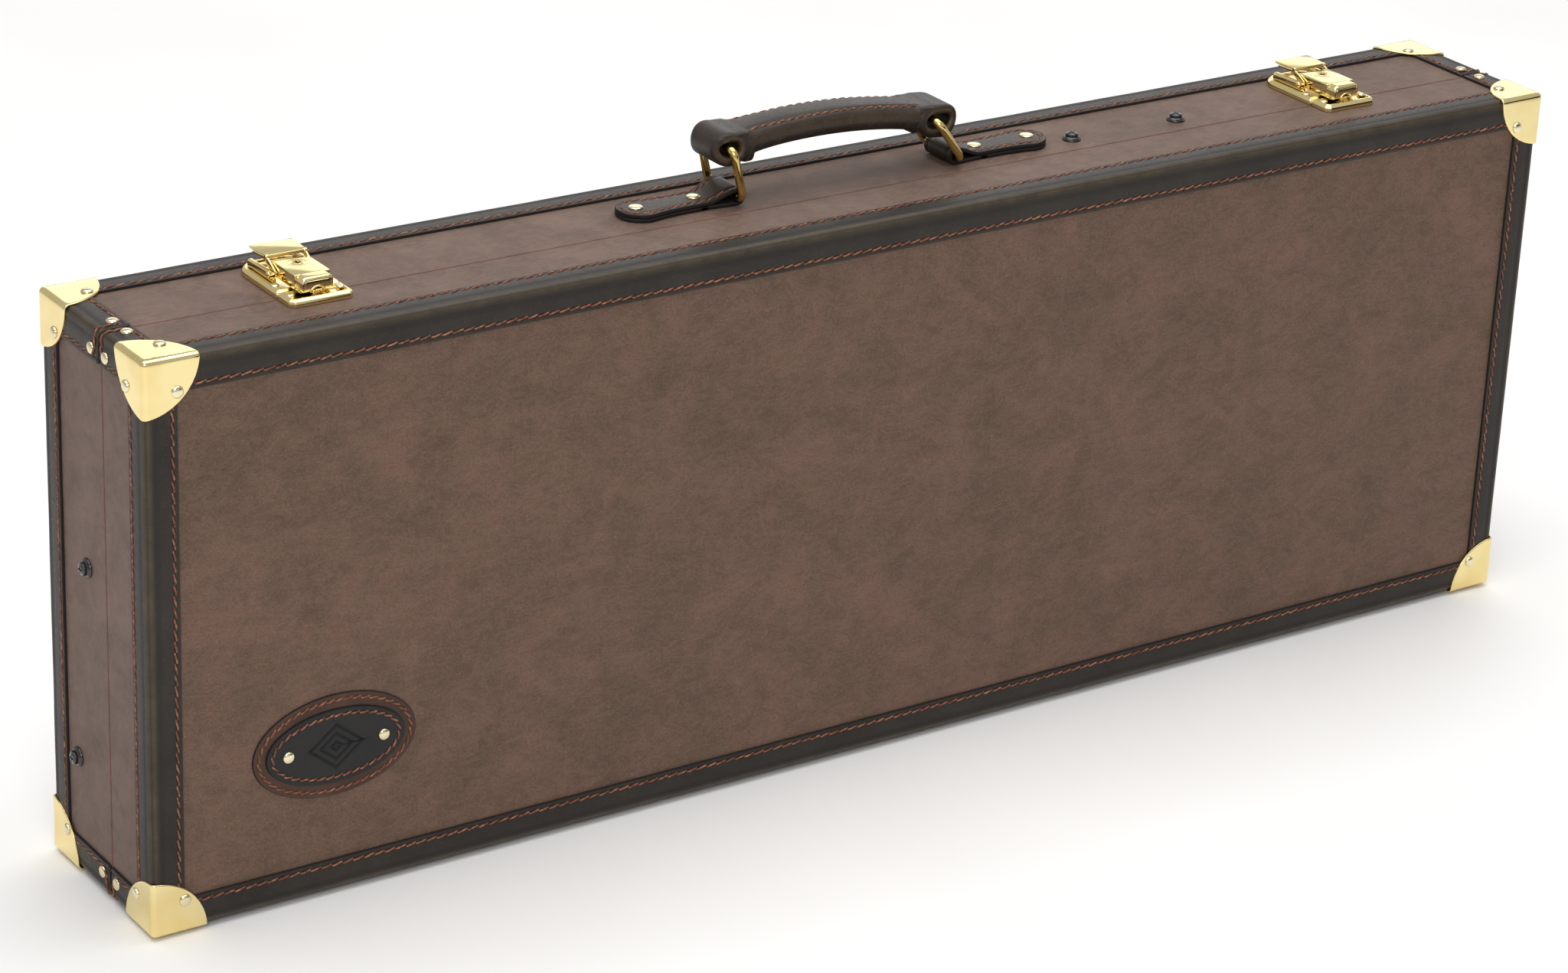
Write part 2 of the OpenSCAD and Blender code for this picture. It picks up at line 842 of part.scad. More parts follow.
module divider_screws() {
    slot = [4.4, 1, 2.4];
    color([0.08, 0.08, 0.08]) at_divider_screws() difference() {
        union() {
            translate([0, 0, -screw_len]) cylinder(r = screw_r, h = screw_len + washer_h + 0.1);
            translate([0, 0, washer_h]) cylinder(r = screw_head_r, h = screw_head_h);
        }
        for (turn = [0, 90])
            translate([0, 0, washer_h + screw_head_h]) rotate([0, 0, turn]) cube(slot, center = true);
    }
}

module screw_washers() {
    color([0.1, 0.1, 0.1]) at_divider_screws() rotate_extrude() polygon([
        [washer_hole_r, 0], [washer_r, 0], [washer_r, 0.6],
        [screw_head_r + 0.3, washer_h], [washer_hole_r, washer_h]
    ]);
}

// ---------- badge ----------

module oval_plate(i) {
    y = -case_d / 2 + in_cover - i * badge_t;
    translate([badge_x, y, badge_z]) rotate([90, 0, 0]) linear_extrude(badge_t)
        scale([1, badge_h[i] / badge_w[i]]) circle(d = badge_w[i], $fn = 72);
}

module badge_backing() {
    color([0.33, 0.2, 0.14]) difference() {
        oval_plate(0);
        at_badge_rivets() drill(shank_r, 2 * badge_t);
    }
}

module badge_face() {
    color([0.12, 0.1, 0.1]) difference() {
        oval_plate(1);
        at_badge_rivets() drill(shank_r, 2 * badge_t);
    }
}

// ---------- nodes ----------

face_panel(BASE);  // base_back_panel
top_wall(BASE);  // base_top_wall
bottom_wall(BASE);  // base_bottom_wall
end_wall(BASE, -1);  // base_left_wall
end_wall(BASE, 1);  // base_right_wall
cover(BASE);  // base_cover
face_bindings(BASE);  // base_face_bindings
end_bindings(BASE);  // base_end_bindings
corner_plate(BASE, -1, -1);  // base_corner_bottom_left
corner_plate(BASE, 1, -1);  // base_corner_bottom_right
corner_plate(BASE, -1, 1);  // base_corner_top_left
corner_plate(BASE, 1, 1);  // base_corner_top_right
cap_rivets(BASE);  // base_rivets
foot_rivets(BASE);  // base_foot_rivets
small_rivets(BASE);  // base_small_rivets
lining(BASE);  // base_lining
long_divider();
low_divider();
cross_dividers();
divider_screws();
screw_washers();
hinge_leaves(BASE);  // base_hinge_leaves
hinge_pins();
latch_plate(-1);  // latch_left_plate
latch_plate(1);  // latch_right_plate
anchor(-1);  // handle_left_anchor
anchor(1);  // handle_right_anchor
face_panel(LID);  // lid_front_panel
top_wall(LID);  // lid_top_wall
bottom_wall(LID);  // lid_bottom_wall
end_wall(LID, -1);  // lid_left_wall
end_wall(LID, 1);  // lid_right_wall
cover(LID);  // lid_cover
face_bindings(LID);  // lid_face_bindings
end_bindings(LID);  // lid_end_bindings
corner_plate(LID, -1, -1);  // lid_corner_bottom_left
corner_plate(LID, 1, -1);  // lid_corner_bottom_right
corner_plate(LID, -1, 1);  // lid_corner_top_left
corner_plate(LID, 1, 1);  // lid_corner_top_right
cap_rivets(LID);  // lid_rivets
foot_rivets(LID);  // lid_foot_rivets
small_rivets(LID);  // lid_small_rivets
lining(LID);  // lid_lining
hinge_leaves(LID);  // lid_hinge_leaves
latch_strike(-1);  // latch_left_strike
latch_strike(1);  // latch_right_strike
badge_backing();
badge_face();
latch_lever(-1);  // latch_left_lever
latch_lever(1);  // latch_right_lever
slide_pin(-1);  // latch_left_slide_pin
slide_pin(1);  // latch_right_slide_pin
latch_draw(-1);  // latch_left_draw
latch_draw(1);  // latch_right_draw
lock_plug(-1);  // latch_left_lock_plug
lock_plug(1);  // latch_right_lock_plug
ring(left_lean, -ring_foot_x);  // handle_left_ring
ring(right_lean, ring_foot_x);  // handle_right_ring
grip();  // handle_grip
handle_core();
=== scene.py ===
"""Looks of a long leather-bound carrying case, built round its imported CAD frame.

Metres, +Z up. Small lengths are written in millimetres and multiplied by MM.
"""

import json
from math import atan2, cos, pi, radians, sin, sqrt

import bmesh
import bpy
import numpy as np
from mathutils import Matrix, Vector
from mathutils.bvhtree import BVHTree


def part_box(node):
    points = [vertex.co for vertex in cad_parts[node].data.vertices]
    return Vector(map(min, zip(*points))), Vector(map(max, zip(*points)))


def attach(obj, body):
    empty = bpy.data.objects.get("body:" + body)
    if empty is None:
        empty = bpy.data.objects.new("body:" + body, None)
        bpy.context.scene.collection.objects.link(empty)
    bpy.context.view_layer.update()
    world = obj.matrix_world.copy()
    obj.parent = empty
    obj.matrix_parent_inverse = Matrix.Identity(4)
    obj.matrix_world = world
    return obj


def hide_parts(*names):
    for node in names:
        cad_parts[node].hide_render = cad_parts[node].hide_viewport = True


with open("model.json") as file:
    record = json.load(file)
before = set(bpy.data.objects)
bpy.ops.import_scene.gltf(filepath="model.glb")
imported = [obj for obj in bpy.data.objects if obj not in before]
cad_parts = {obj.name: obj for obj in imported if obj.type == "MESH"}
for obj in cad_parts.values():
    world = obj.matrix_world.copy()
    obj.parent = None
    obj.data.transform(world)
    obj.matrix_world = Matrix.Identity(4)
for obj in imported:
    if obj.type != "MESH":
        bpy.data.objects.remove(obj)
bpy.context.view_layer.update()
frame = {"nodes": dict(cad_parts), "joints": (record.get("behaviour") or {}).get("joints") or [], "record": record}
scene = bpy.context.scene
MM = 0.001

# ---- places from the frame

SHELLS = {"lid": -1, "base": 1}
SIDES = {"left": -1, "right": 1}
AXIS_X, AXIS_Y, AXIS_Z = 0, 1, 2


def span(*nodes):
    """Lowest and highest corner round several CAD nodes, as arrays."""
    boxes = np.array([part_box(n) for n in nodes], float)
    return boxes[:, 0].min(0), boxes[:, 1].max(0)


corner_names = [
    f"{shell}_corner_{level}_{side}"
    for shell in SHELLS for level in ("bottom", "top") for side in SIDES
]
outer_lo, outer_hi = span(*corner_names)
CENTRE = (outer_lo + outer_hi) / 2
PLATE_REACH = span("lid_corner_top_left")[1][0] - outer_lo[0]
IN_STRIP = span("lid_face_bindings", "base_face_bindings")[0][0] - outer_lo[0]
IN_COVER = span("lid_cover", "base_cover")[0][0] - outer_lo[0]
STRIP_T = IN_COVER - IN_STRIP
FACE_OF = {"lid": outer_lo[1], "base": outer_hi[1]}
EDGE_OF = {"lid": span("lid_cover")[1][1], "base": span("base_cover")[0][1]}
STRAP_END = {"lid": span("lid_end_bindings")[1][1], "base": span("base_end_bindings")[0][1]}
SPLIT_Y = (EDGE_OF["lid"] + EDGE_OF["base"]) / 2

# ---- sizes of the finer shapes

PLATE_EDGE_R = 3 * MM
PLATE_T = 0.8 * MM
STRIP_W = 19 * MM
STRIP_EDGE_R = 4.7 * MM
STRIP_LIP_R = 0.7 * MM
COVER_EDGE_R = 2.8 * MM
SEAM_IN = 3 * MM
SEAM_DEPTH = 0.42 * MM
RIDGE_AT = 6.6 * MM
STITCH_PITCH = 6.2 * MM
STITCH_LEAN = -1.2 * MM
THREAD_R = 0.55 * MM
WIRE_R = 2.3 * MM
CAP_H = 1.6 * MM
SMALL_CAP_H = 0.7 * MM
RING_CORNER_R = 4.5
TAB_ZONE = 0.2

# ---- materials


def srgb(text):
    """Linear colour of a six-figure sRGB value."""
    parts = [int(text[i:i + 2], 16) / 255 for i in (0, 2, 4)]
    return tuple(((c + 0.055) / 1.055) ** 2.4 if c > 0.04045 else c / 12.92 for c in parts) + (1,)


class Surface:
    """A Principled material while it is wired up."""

    def __init__(self, name, **constants):
        self.material = bpy.data.materials.new(name)
        self.material.use_nodes = True
        self.tree = self.material.node_tree
        self.shader = self.tree.nodes["Principled BSDF"]
        for socket, value in constants.items():
            self.shader.inputs[socket.replace("_", " ")].default_value = value
        self.place = self.add("TexCoord").outputs["Object"]

    def add(self, kind, sockets=None, **settings):
        made = self.tree.nodes.new("ShaderNode" + kind)
        for key, value in settings.items():
            setattr(made, key, value)
        for key, value in (sockets or {}).items():
            if isinstance(value, bpy.types.NodeSocket):
                self.tree.links.new(value, made.inputs[key])
            else:
                made.inputs[key].default_value = value
        return made

    def stretched(self, scale):
        return self.add("Mapping", {"Vector": self.place, "Scale": scale}).outputs[0]

    def noise(self, scale, detail=3, rough=0.55, place=None, warp=0):
        sockets = {
            "Vector": place or self.place, "Scale": scale, "Detail": detail,
            "Roughness": rough, "Distortion": warp,
        }
        return self.add("TexNoise", sockets).outputs[0]

    def cells(self, scale, place=None):
        sockets = {"Vector": place or self.place, "Scale": scale}
        return self.add("TexVoronoi", sockets, feature="SMOOTH_F1").outputs["Distance"]

    def tones(self, value, spots, colours):
        """A ramp through six-figure colours at the given spots."""
        made = self.add("ValToRGB", {0: value})
        elements = made.color_ramp.elements
        while len(elements) < len(spots):
            elements.new(0.5)
        for element, at, colour in zip(elements, spots, colours):
            element.position = at
            element.color = srgb(colour)
        return made.outputs["Color"]

    def tint(self, base, colour, value, *limits):
        """Mixes a colour in by a value, which is remapped first where limits are given."""
        share = self.remap(value, *limits) if limits else value
        return self.add("Mix", {0: share, 6: base, 7: srgb(colour)}, data_type="RGBA").outputs[2]

    def calc(self, operation, a, b=0):
        return self.add("Math", {0: a, 1: b}, operation=operation).outputs[0]

    def remap(self, value, low, high, start=0, end=1):
        sockets = {"Value": value, "From Min": start, "From Max": end, "To Min": low, "To Max": high}
        return self.add("MapRange", sockets).outputs[0]

    def painted(self, attribute, share=None):
        value = self.add("Attribute", attribute_name=attribute).outputs["Fac"]
        return self.calc("MULTIPLY", value, share) if share else value

    def bump(self, height, strength, depth, under=None):
        sockets = {"Height": height, "Strength": strength, "Distance": depth}
        if under:
            sockets["Normal"] = under
        return self.add("Bump", sockets).outputs[0]

    def done(self, base, rough, normal=None):
        """Wires the results to the shader."""
        for name, value in (("Base Color", base), ("Roughness", rough), ("Normal", normal)):
            if value:
                self.tree.links.new(value, self.shader.inputs[name])
        return self.material


def covering(name, stretch, tones):
    """Printed leatherette: cloudy two-tone brown, with fine wrinkles and a grain along the strip."""
    s = Surface(name, Specular_IOR_Level=0.26)
    along = s.stretched(stretch)
    base = s.tones(s.noise(21, 7, 0.66, warp=0.9), (0.36, 0.5, 0.64), tones)
    patches = s.noise(64, 6, 0.68, s.stretched((0.8, 1, 1.2)), 0.7)
    base = s.tint(base, "4a3a2f", patches, 0, 0.5, 0.46, 0.7)
    grain = s.noise(1000, 3, 0.65, along, 0.3)
    base = s.tint(base, "8d7466", grain, 0, 0.42, 0.5, 0.78)
    base = s.tint(base, "33261f", grain, 0.55, 0, 0.22, 0.46)
    folds = s.noise(105, 5, 0.72, s.stretched((0.55, 1, 1.15)), 0.8)
    folds = s.calc("ABSOLUTE", s.calc("SUBTRACT", folds, 0.5))
    hairs = s.noise(430, 4, 0.66, along, 1.4)
    base = s.tint(base, "3a2c24", folds, 0.24, 0, 0, 0.016)
    base = s.tint(base, "927a6c", folds, 0.14, 0, 0.016, 0.045)
    base = s.tint(base, "937c6f", hairs, 0, 0.3, 0.62, 0.74)
    base = s.tint(base, "7c3f33", s.painted("edge", 0.55))
    low = s.bump(s.cells(700, along), 0.45, 0.25 * MM)
    low = s.bump(s.remap(folds, 0, 1, 0, 0.03), 0.3, 0.14 * MM, low)
    normal = s.bump(hairs, 0.35, 0.18 * MM, s.bump(grain, 0.4, 0.12 * MM, low))
    return s.done(base, s.remap(grain, 0.5, 0.7, 0.3, 0.7), normal)


def hide(name, tones, worn_and_highlight_tone, gloss, grain=700, wear_and_highlight_share=0.8, edge="1a1614"):
    """Smooth dyed leather: cloudy, darker on its cut edges, and rubbed lighter where it bends. Its dark colour
    also paints shade into a binding's seam groove and crease, and its light colour paints a highlight along the
    grip's sides.
    """
    s = Surface(name, Specular_IOR_Level=0.34)
    base = s.tones(s.noise(28, 5, 0.62, warp=0.5), (0.32, 0.52, 0.7), tones)
    patchy = s.remap(s.noise(70, 4, 0.6), 0.35, 1, 0.3, 0.65)
    # Rubbed lighter where it bends, and on the grip's sides a painted highlight.
    rub_and_highlight = s.calc("MULTIPLY", s.painted("wear_and_highlight"), patchy)
    base = s.tint(base, worn_and_highlight_tone, s.calc("MULTIPLY", rub_and_highlight, wear_and_highlight_share))
    fine = s.noise(grain, 3, 0.6)
    base = s.tint(base, worn_and_highlight_tone, fine, 0, 0.2, 0.5, 0.8)
    # Dark cut edges, and painted shade in a binding's seam groove and in the crease beside its ridge.
    base = s.tint(base, edge, s.painted("edge"))
    creases = s.noise(150, 4, 0.65, s.stretched((0.5, 1, 1)), 1.2)
    normal = s.bump(s.cells(grain * 1.2), 0.18, 0.16 * MM, s.bump(creases, 0.16, 0.5 * MM))
    rough = s.calc("ADD", s.remap(fine, *gloss, 0.3, 0.7), s.painted("edge", 0.3))
    return s.done(base, rough, normal)


def polished(name, bright, deep, gloss, waves, crease_shade="7a5410"):
    """Plated brass: faint waviness from pressing, hairline scratches, and painted shade in its creases and
    hollows.
    """
    s = Surface(name, Metallic=1, Specular_IOR_Level=0.6)
    broad = s.noise(40, 2, 0.5)
    base = s.tint(srgb(bright), deep, broad, 0, 0.3, 0.4, 0.7)
    # Painted shade: concave parts take the deeper colour.
    base = s.tint(base, deep, s.add("NewGeometry").outputs["Pointiness"], 0.7, 0, 0.42, 0.49)
    # Painted shade in creases where the edge paint is set; of the brass parts only the keyhole plug has it.
    base = s.tint(base, crease_shade, s.painted("edge", 0.75))
    hairs = s.noise(300, 2, 0.5, s.stretched((0.12, 1, 1.7)))
    fine = s.remap(s.noise(2200, 2, 0.5), 0, 0.04, 0.4, 0.7)
    rough = s.calc("ADD", s.remap(hairs, *gloss, 0.4, 0.75), fine)
    normal = s.bump(hairs, 0.03, 0.03 * MM, s.bump(broad, waves, 0.12 * MM))
    return s.done(base, rough, normal)


def enamel(name, tone):
    """Glossy black paint over metal, a little dusty."""
    s = Surface(name, Specular_IOR_Level=0.55, Coat_Weight=0.5, Coat_Roughness=0.08)
    dust = s.noise(400, 4, 0.6)
    base = s.tint(srgb(tone), "4a4744", dust, 0, 0.1, 0.55, 0.8)
    normal = s.bump(s.noise(900, 2), 0.05, 0.05 * MM)
    return s.done(base, s.remap(dust, 0.14, 0.34, 0.35, 0.7), normal)


def cord_thread(name, tones):
    """Waxed thread: a twist of fine fibres in a rust colour."""
    s = Surface(name, Specular_IOR_Level=0.3)
    fibre = s.noise(2600, 3, 0.7)
    base = s.tones(s.noise(420, 3, 0.6), (0.3, 0.5, 0.7), tones)
    base = s.tint(base, tones[-1], fibre, 0, 0.4, 0.5, 0.8)
    return s.done(base, s.remap(fibre, 0.5, 0.75, 0.3, 0.7), s.bump(fibre, 0.5, 0.1 * MM))


def timber(name, tones):
    """Birch plywood: long pale grain with darker pores."""
    s = Surface(name, Specular_IOR_Level=0.35)
    rings = s.noise(60, 5, 0.6, s.stretched((0.08, 1, 1)), 0.5)
    pores = s.noise(1100, 2, 0.5, s.stretched((0.05, 1, 1)))
    base = s.tint(s.tones(rings, (0.3, 0.5, 0.72), tones), "8b6238", pores, 0, 0.5, 0.6, 0.75)
    return s.done(base, s.remap(rings, 0.5, 0.7, 0.3, 0.7), s.bump(pores, 0.2, 0.1 * MM))


def velour(name, tones, nap):
    """Napped cloth: soft clouds where the pile lies differently, and a fine fibre."""
    s = Surface(name, Specular_IOR_Level=0.2, Sheen_Weight=0.7, Sheen_Roughness=0.35)
    lay = s.noise(24, 4, 0.6, warp=0.2)
    fibre = s.noise(nap, 3, 0.7)
    base = s.tint(s.tones(lay, (0.34, 0.5, 0.68), tones), tones[-1], fibre, 0, 0.45, 0.5, 0.8)
    normal = s.bump(fibre, 0.5, 0.25 * MM, s.bump(lay, 0.2, 0.6 * MM))
    return s.done(base, s.remap(fibre, 0.75, 0.95, 0.3, 0.7), normal)


# The coverings differ in grain direction and in tone: painted light makes the strip over top, bottom and ends
# lighter than the face, the ends lightest.
FRONT_COVER = covering("covering_face", (0.7, 1, 0.9), ("5a4738", "644d3f", "6d5145"))
LONG_COVER = covering("covering_along", (0.2, 1, 1), ("5e4c43", "685449", "705b50"))
END_COVER = covering("covering_upright", (1, 1, 0.2), ("64524a", "6e5a53", "755f57"))
BINDING = hide("binding", ("1a1511", "231d18", "2c251e"), "5c503c", (0.36, 0.52), wear_and_highlight_share=0.55)
# Its light colour is also the painted highlight along the grip's sides.
HANDLE = hide("handle", ("1e1712", "29201a", "352920"), "6f5c45", (0.32, 0.5), grain=600)
BADGE_BROWN = hide("badge_brown", ("38251b", "442e22", "50382b"), "74584a", (0.45, 0.65), grain=900)
BADGE_BLACK = hide("badge_black", ("161516", "1b1a1a", "211f1f"), "3c3a39", (0.4, 0.55),
                   grain=900, edge="040404")
BRASS = polished("brass", "f3e1a6", "dbb04e", (0.08, 0.16), 0.05)
RIVET = polished("rivet_brass", "ece2be", "b99c5c", (0.12, 0.22), 0.03)
# The last colour is the painted shade in the keyhole plug's groove.
OLD_BRASS = polished("ring_brass", "e0c97f", "a98a44", (0.09, 0.15), 0.02, "4a3410")
ENAMEL = enamel("black_enamel", "121212")
THREAD = cord_thread("thread", ("4a2b1f", "7a4935", "ac7659"))
TIMBER = timber("plywood", ("b98f5f", "d3ae7d", "e2c496"))
LINING = velour("lining", ("65553c", "6e5d43", "79684c"), 1500)
BOARD = velour("divider_cloth", ("51442f", "594b36", "63553e"), 1300)

# ---- mesh helpers


join = np.concatenate


def unit(vectors):
    return vectors / np.linalg.norm(vectors, axis=-1, keepdims=True)


def mm(*values):
    return np.array(values) * MM


def bell(distance, width):
    """1 at no distance, and falling smoothly to nothing over about two widths."""
    return np.exp(-(distance / width) ** 2)


class Shape:
    """Vertices, faces and painted values gathered into one piece."""

    def __init__(self):
        self.points, self.faces, self.slots = [], [], []
        self.paint = {"wear_and_highlight": [], "edge": []}

    def rings(self, rings, closed=True, caps=True, looped=False, slot=0, wear_and_highlight=0, edge=0):
        """Skins a row of rings of points."""
        rings = np.asarray(rings, float)
        rows, columns = rings.shape[:2]
        first = len(self.points)
        self.points.extend(map(tuple, rings.reshape(-1, 3)))
        for key, values in (("wear_and_highlight", wear_and_highlight), ("edge", edge)):
            self.paint[key].extend(np.broadcast_to(values, (rows, columns)).ravel().tolist())
        made = []
        for i in range(rows if looped else rows - 1):
            for j in range(columns if closed else columns - 1):
                i2, j2 = (i + 1) % rows, (j + 1) % columns
                made.append((i * columns + j, i * columns + j2, i2 * columns + j2, i2 * columns + j))
        if caps and not looped:
            made.append(tuple(reversed(range(columns))))
            made.append(tuple(range((rows - 1) * columns, rows * columns)))
        self.faces.extend(tuple(first + k for k in face) for face in made)
        self.slots.extend([slot] * len(made))
        return self

    def build(self, name, *materials, sharp=40, weld=0):
        mesh = bpy.data.meshes.new(name)
        mesh.from_pydata(self.points, [], self.faces)
        mesh.polygons.foreach_set("material_index", self.slots)
        for key, values in self.paint.items():
            mesh.attributes.new(key, "FLOAT", "POINT").data.foreach_set("value", values)
        tidy = bmesh.new()
        tidy.from_mesh(mesh)
        if weld:
            bmesh.ops.remove_doubles(tidy, verts=tidy.verts, dist=weld)
        bmesh.ops.recalc_face_normals(tidy, faces=tidy.faces)
        tidy.to_mesh(mesh)
        tidy.free()
        mesh.shade_smooth()
        mesh.set_sharp_from_angle(angle=radians(sharp))
        for material in materials:
            mesh.materials.append(material)
        made = bpy.data.objects.new(name, mesh)
        scene.collection.objects.link(made)
        return made


def piece(made, body, slot, *nodes):
    """Puts a finished object on its body and hides the CAD nodes that it stands for. Its slot is not used."""
    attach(made, body)
    if nodes:
        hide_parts(*nodes)
    return made


def apply_modifiers(made):
    """Replaces the object's mesh by the evaluated one."""
    bpy.context.view_layer.update()
    held = made.evaluated_get(bpy.context.evaluated_depsgraph_get())
    mesh = bpy.data.meshes.new_from_object(held)
    made.modifiers.clear()
    made.data = mesh
    return made


def carve(made, *cutters):
    """Cuts the cutters out of a closed object and removes them."""
    for cutter in cutters:
        cut = made.modifiers.new("cut", "BOOLEAN")
        cut.operation = "DIFFERENCE"
        cut.solver = "EXACT"
        cut.object = cutter
    apply_modifiers(made)
    for cutter in cutters:
        bpy.data.objects.remove(cutter)
    made.data.set_sharp_from_angle(angle=radians(30))
    return made


def rounded(points, radius, inset=0, steps=5):
    """A convex counter-clockwise outline with rounded corners, shrunk by inset."""
    points = np.asarray(points, float)
    radii = np.broadcast_to(radius, len(points))
    made = []
    for i, corner in enumerate(points):
        before = corner - points[i - 1]
        after = points[(i + 1) % len(points)] - corner
        normals = [unit(np.array([-v[1], v[0]])) for v in (before, after)]
        middle = unit(normals[0] + normals[1])
        r = max(radii[i] - inset, 0.03)
        centre = corner + middle * (inset + r) / (middle @ normals[0])
        start, end = (atan2(-n[1], -n[0]) for n in normals)
        if end < start:
            end += 2 * pi
        turn = np.linspace(start, end, steps + 1)
        made.append(centre + r * np.column_stack([np.cos(turn), np.sin(turn)]))
    return join(made)


def rectangle(x0, x1, y0, y1):
    return [(x0, y0), (x1, y0), (x1, y1), (x0, y1)]


def upright(flat, y):
    """An outline in x and z, at one y."""
    return np.column_stack([flat[:, 0], np.full(len(flat), y), flat[:, 1]])


BEVEL = ((0, 1), (0.13, 0.5), (0.5, 0.13), (1, 0))


def slab(shape, outline, radius, start, end, axes, bevel=0.3, to=None):
    """An outline in two axes, thick along the third, its rim rounded off. Millimetres."""
    rows = [(start + a * bevel, o * bevel) for a, o in BEVEL]
    rows += [(end - a * bevel, o * bevel) for a, o in reversed(BEVEL)]
    rings = []
    for along, inset in rows:
        flat = rounded(outline, radius, inset)
        ring = np.empty((len(flat), 3))
        ring[:, axes[0]], ring[:, axes[1]] = flat[:, 0], flat[:, 1]
        ring[:, 3 - axes[0] - axes[1]] = along
        rings.append(ring)
    rings = np.array(rings)
    shape.rings(to(rings) if to else rings * MM)
    return shape


def basis(axis):
    """Two unit vectors across an axis, and the axis."""
    axis = Vector(axis).normalized()
    turn = Vector((0, 0, 1)).rotation_difference(axis).to_matrix()
    return np.array(turn @ Vector((1, 0, 0))), np.array(turn @ Vector((0, 1, 0))), np.array(axis)


def turned(shape, profile, at, axis, sides=28, **extra):
    """A lathe shape at a point: profile is (radius, height) pairs in millimetres along the axis."""
    across, other, along = basis(axis)
    turn = np.linspace(0, 2 * pi, sides, endpoint=False)
    circle = np.outer(np.cos(turn), across) + np.outer(np.sin(turn), other)
    rings = [np.asarray(at) + max(r, 0.02) * MM * circle + h * MM * along for r, h in profile]
    return shape.rings(rings, **extra)


def hoops(middle, radii, side, over, count):
    """Circles round the points of a path, across two vectors at each."""
    turn = np.linspace(0, 2 * pi, count, endpoint=False)
    circle = np.cos(turn)[None, :, None] * side[:, None] + np.sin(turn)[None, :, None] * over[:, None]
    return middle[:, None] + np.broadcast_to(radii, len(middle))[:, None, None] * circle


def tube(shape, path, radius, sides=12, looped=False, up=(0, 0, 1)):
    """A round wire along a path, whose rings keep one side towards up."""
    path = np.asarray(path, float)
    ahead = np.roll(path, -1, 0) - np.roll(path, 1, 0)
    if not looped:
        ahead[0], ahead[-1] = path[1] - path[0], path[-1] - path[-2]
    ahead = unit(ahead)
    side = unit(np.cross(ahead, up))
    return shape.rings(hoops(path, radius, side, np.cross(side, ahead), sides), looped=looped)


def solids(node):
    """The boxes of the separate solids in a CAD node."""
    work = bmesh.new()
    work.from_mesh(frame["nodes"][node].data)
    bmesh.ops.remove_doubles(work, verts=work.verts, dist=1e-6)
    found, seen = [], set()
    for start in work.verts:
        if start in seen:
            continue
        island, queue = [], [start]
        seen.add(start)
        while queue:
            vert = queue.pop()
            island.append(tuple(vert.co))
            new = {e.other_vert(vert) for e in vert.link_edges} - seen
            seen |= new
            queue.extend(new)
        found.append((np.min(island, 0), np.max(island, 0)))
    work.free()
    return found


def wrap(points, inset, radius):
    """Moves points given on the case's sharp outer box onto the box inside it, with round edges.

    inset and radius may differ from point to point. Returns the places and the normals.
    """
    inset = np.asarray(inset, float)[..., None]
    radius = np.asarray(radius, float)[..., None]
    points = np.clip(points, outer_lo + inset, outer_hi - inset)
    core = np.clip(points, outer_lo + inset + radius, outer_hi - inset - radius)
    normal = points - core
    normal /= np.maximum(np.linalg.norm(normal, axis=-1, keepdims=True), 1e-9)
    return core + normal * radius, normal


def ripple(t, seed, size):
    """A slow, repeatable waviness along a length in metres."""
    draws = np.random.default_rng(seed)
    total = np.zeros_like(t, float)
    for wave in (0.21, 0.13, 0.071, 0.037):
        total += sqrt(wave) * np.sin(2 * pi * (t / wave + draws.random()))
    return size * total


# ---- stitches

# Along one stitch: share of its length, thickness, lift off the leather and slant
STITCH = np.array([
    (0, 0.6, -0.45, -0.5), (0.1, 0.9, 0.15, -0.48), (0.28, 1, 0.5, -0.3), (0.5, 1, 0.6, 0),
    (0.72, 1, 0.5, 0.3), (0.9, 0.9, 0.15, 0.48), (1, 0.6, -0.45, 0.5),
])


def stitches(shape, path, normals, pitch=STITCH_PITCH):
    """Lockstitch along a path: short slanted lengths of thread that dip into the leather."""
    path, normals = np.asarray(path), np.asarray(normals)
    steps = np.linalg.norm(np.diff(path, axis=0), axis=1)
    length = join([[0], np.cumsum(steps)])
    count = max(1, round(length[-1] / pitch))
    pitch = length[-1] / count
    share, swell, lift, slant = STITCH.T

    def at(s, values):
        return np.array([np.interp(s, length, values[:, k]) for k in range(3)]).T

    for i in range(count):
        s = (i - 0.03 + 1.06 * share) * pitch
        normal = unit(at(s, normals))
        ahead = unit(at(s[-1:], path) - at(s[:1], path))
        side = np.cross(ahead, normal)
        middle = at(s, path) + normal * (lift * THREAD_R)[:, None] + side * (slant * STITCH_LEAN)[:, None]
        shape.rings(hoops(middle, swell * THREAD_R, side, normal, 7))


# ---- covering


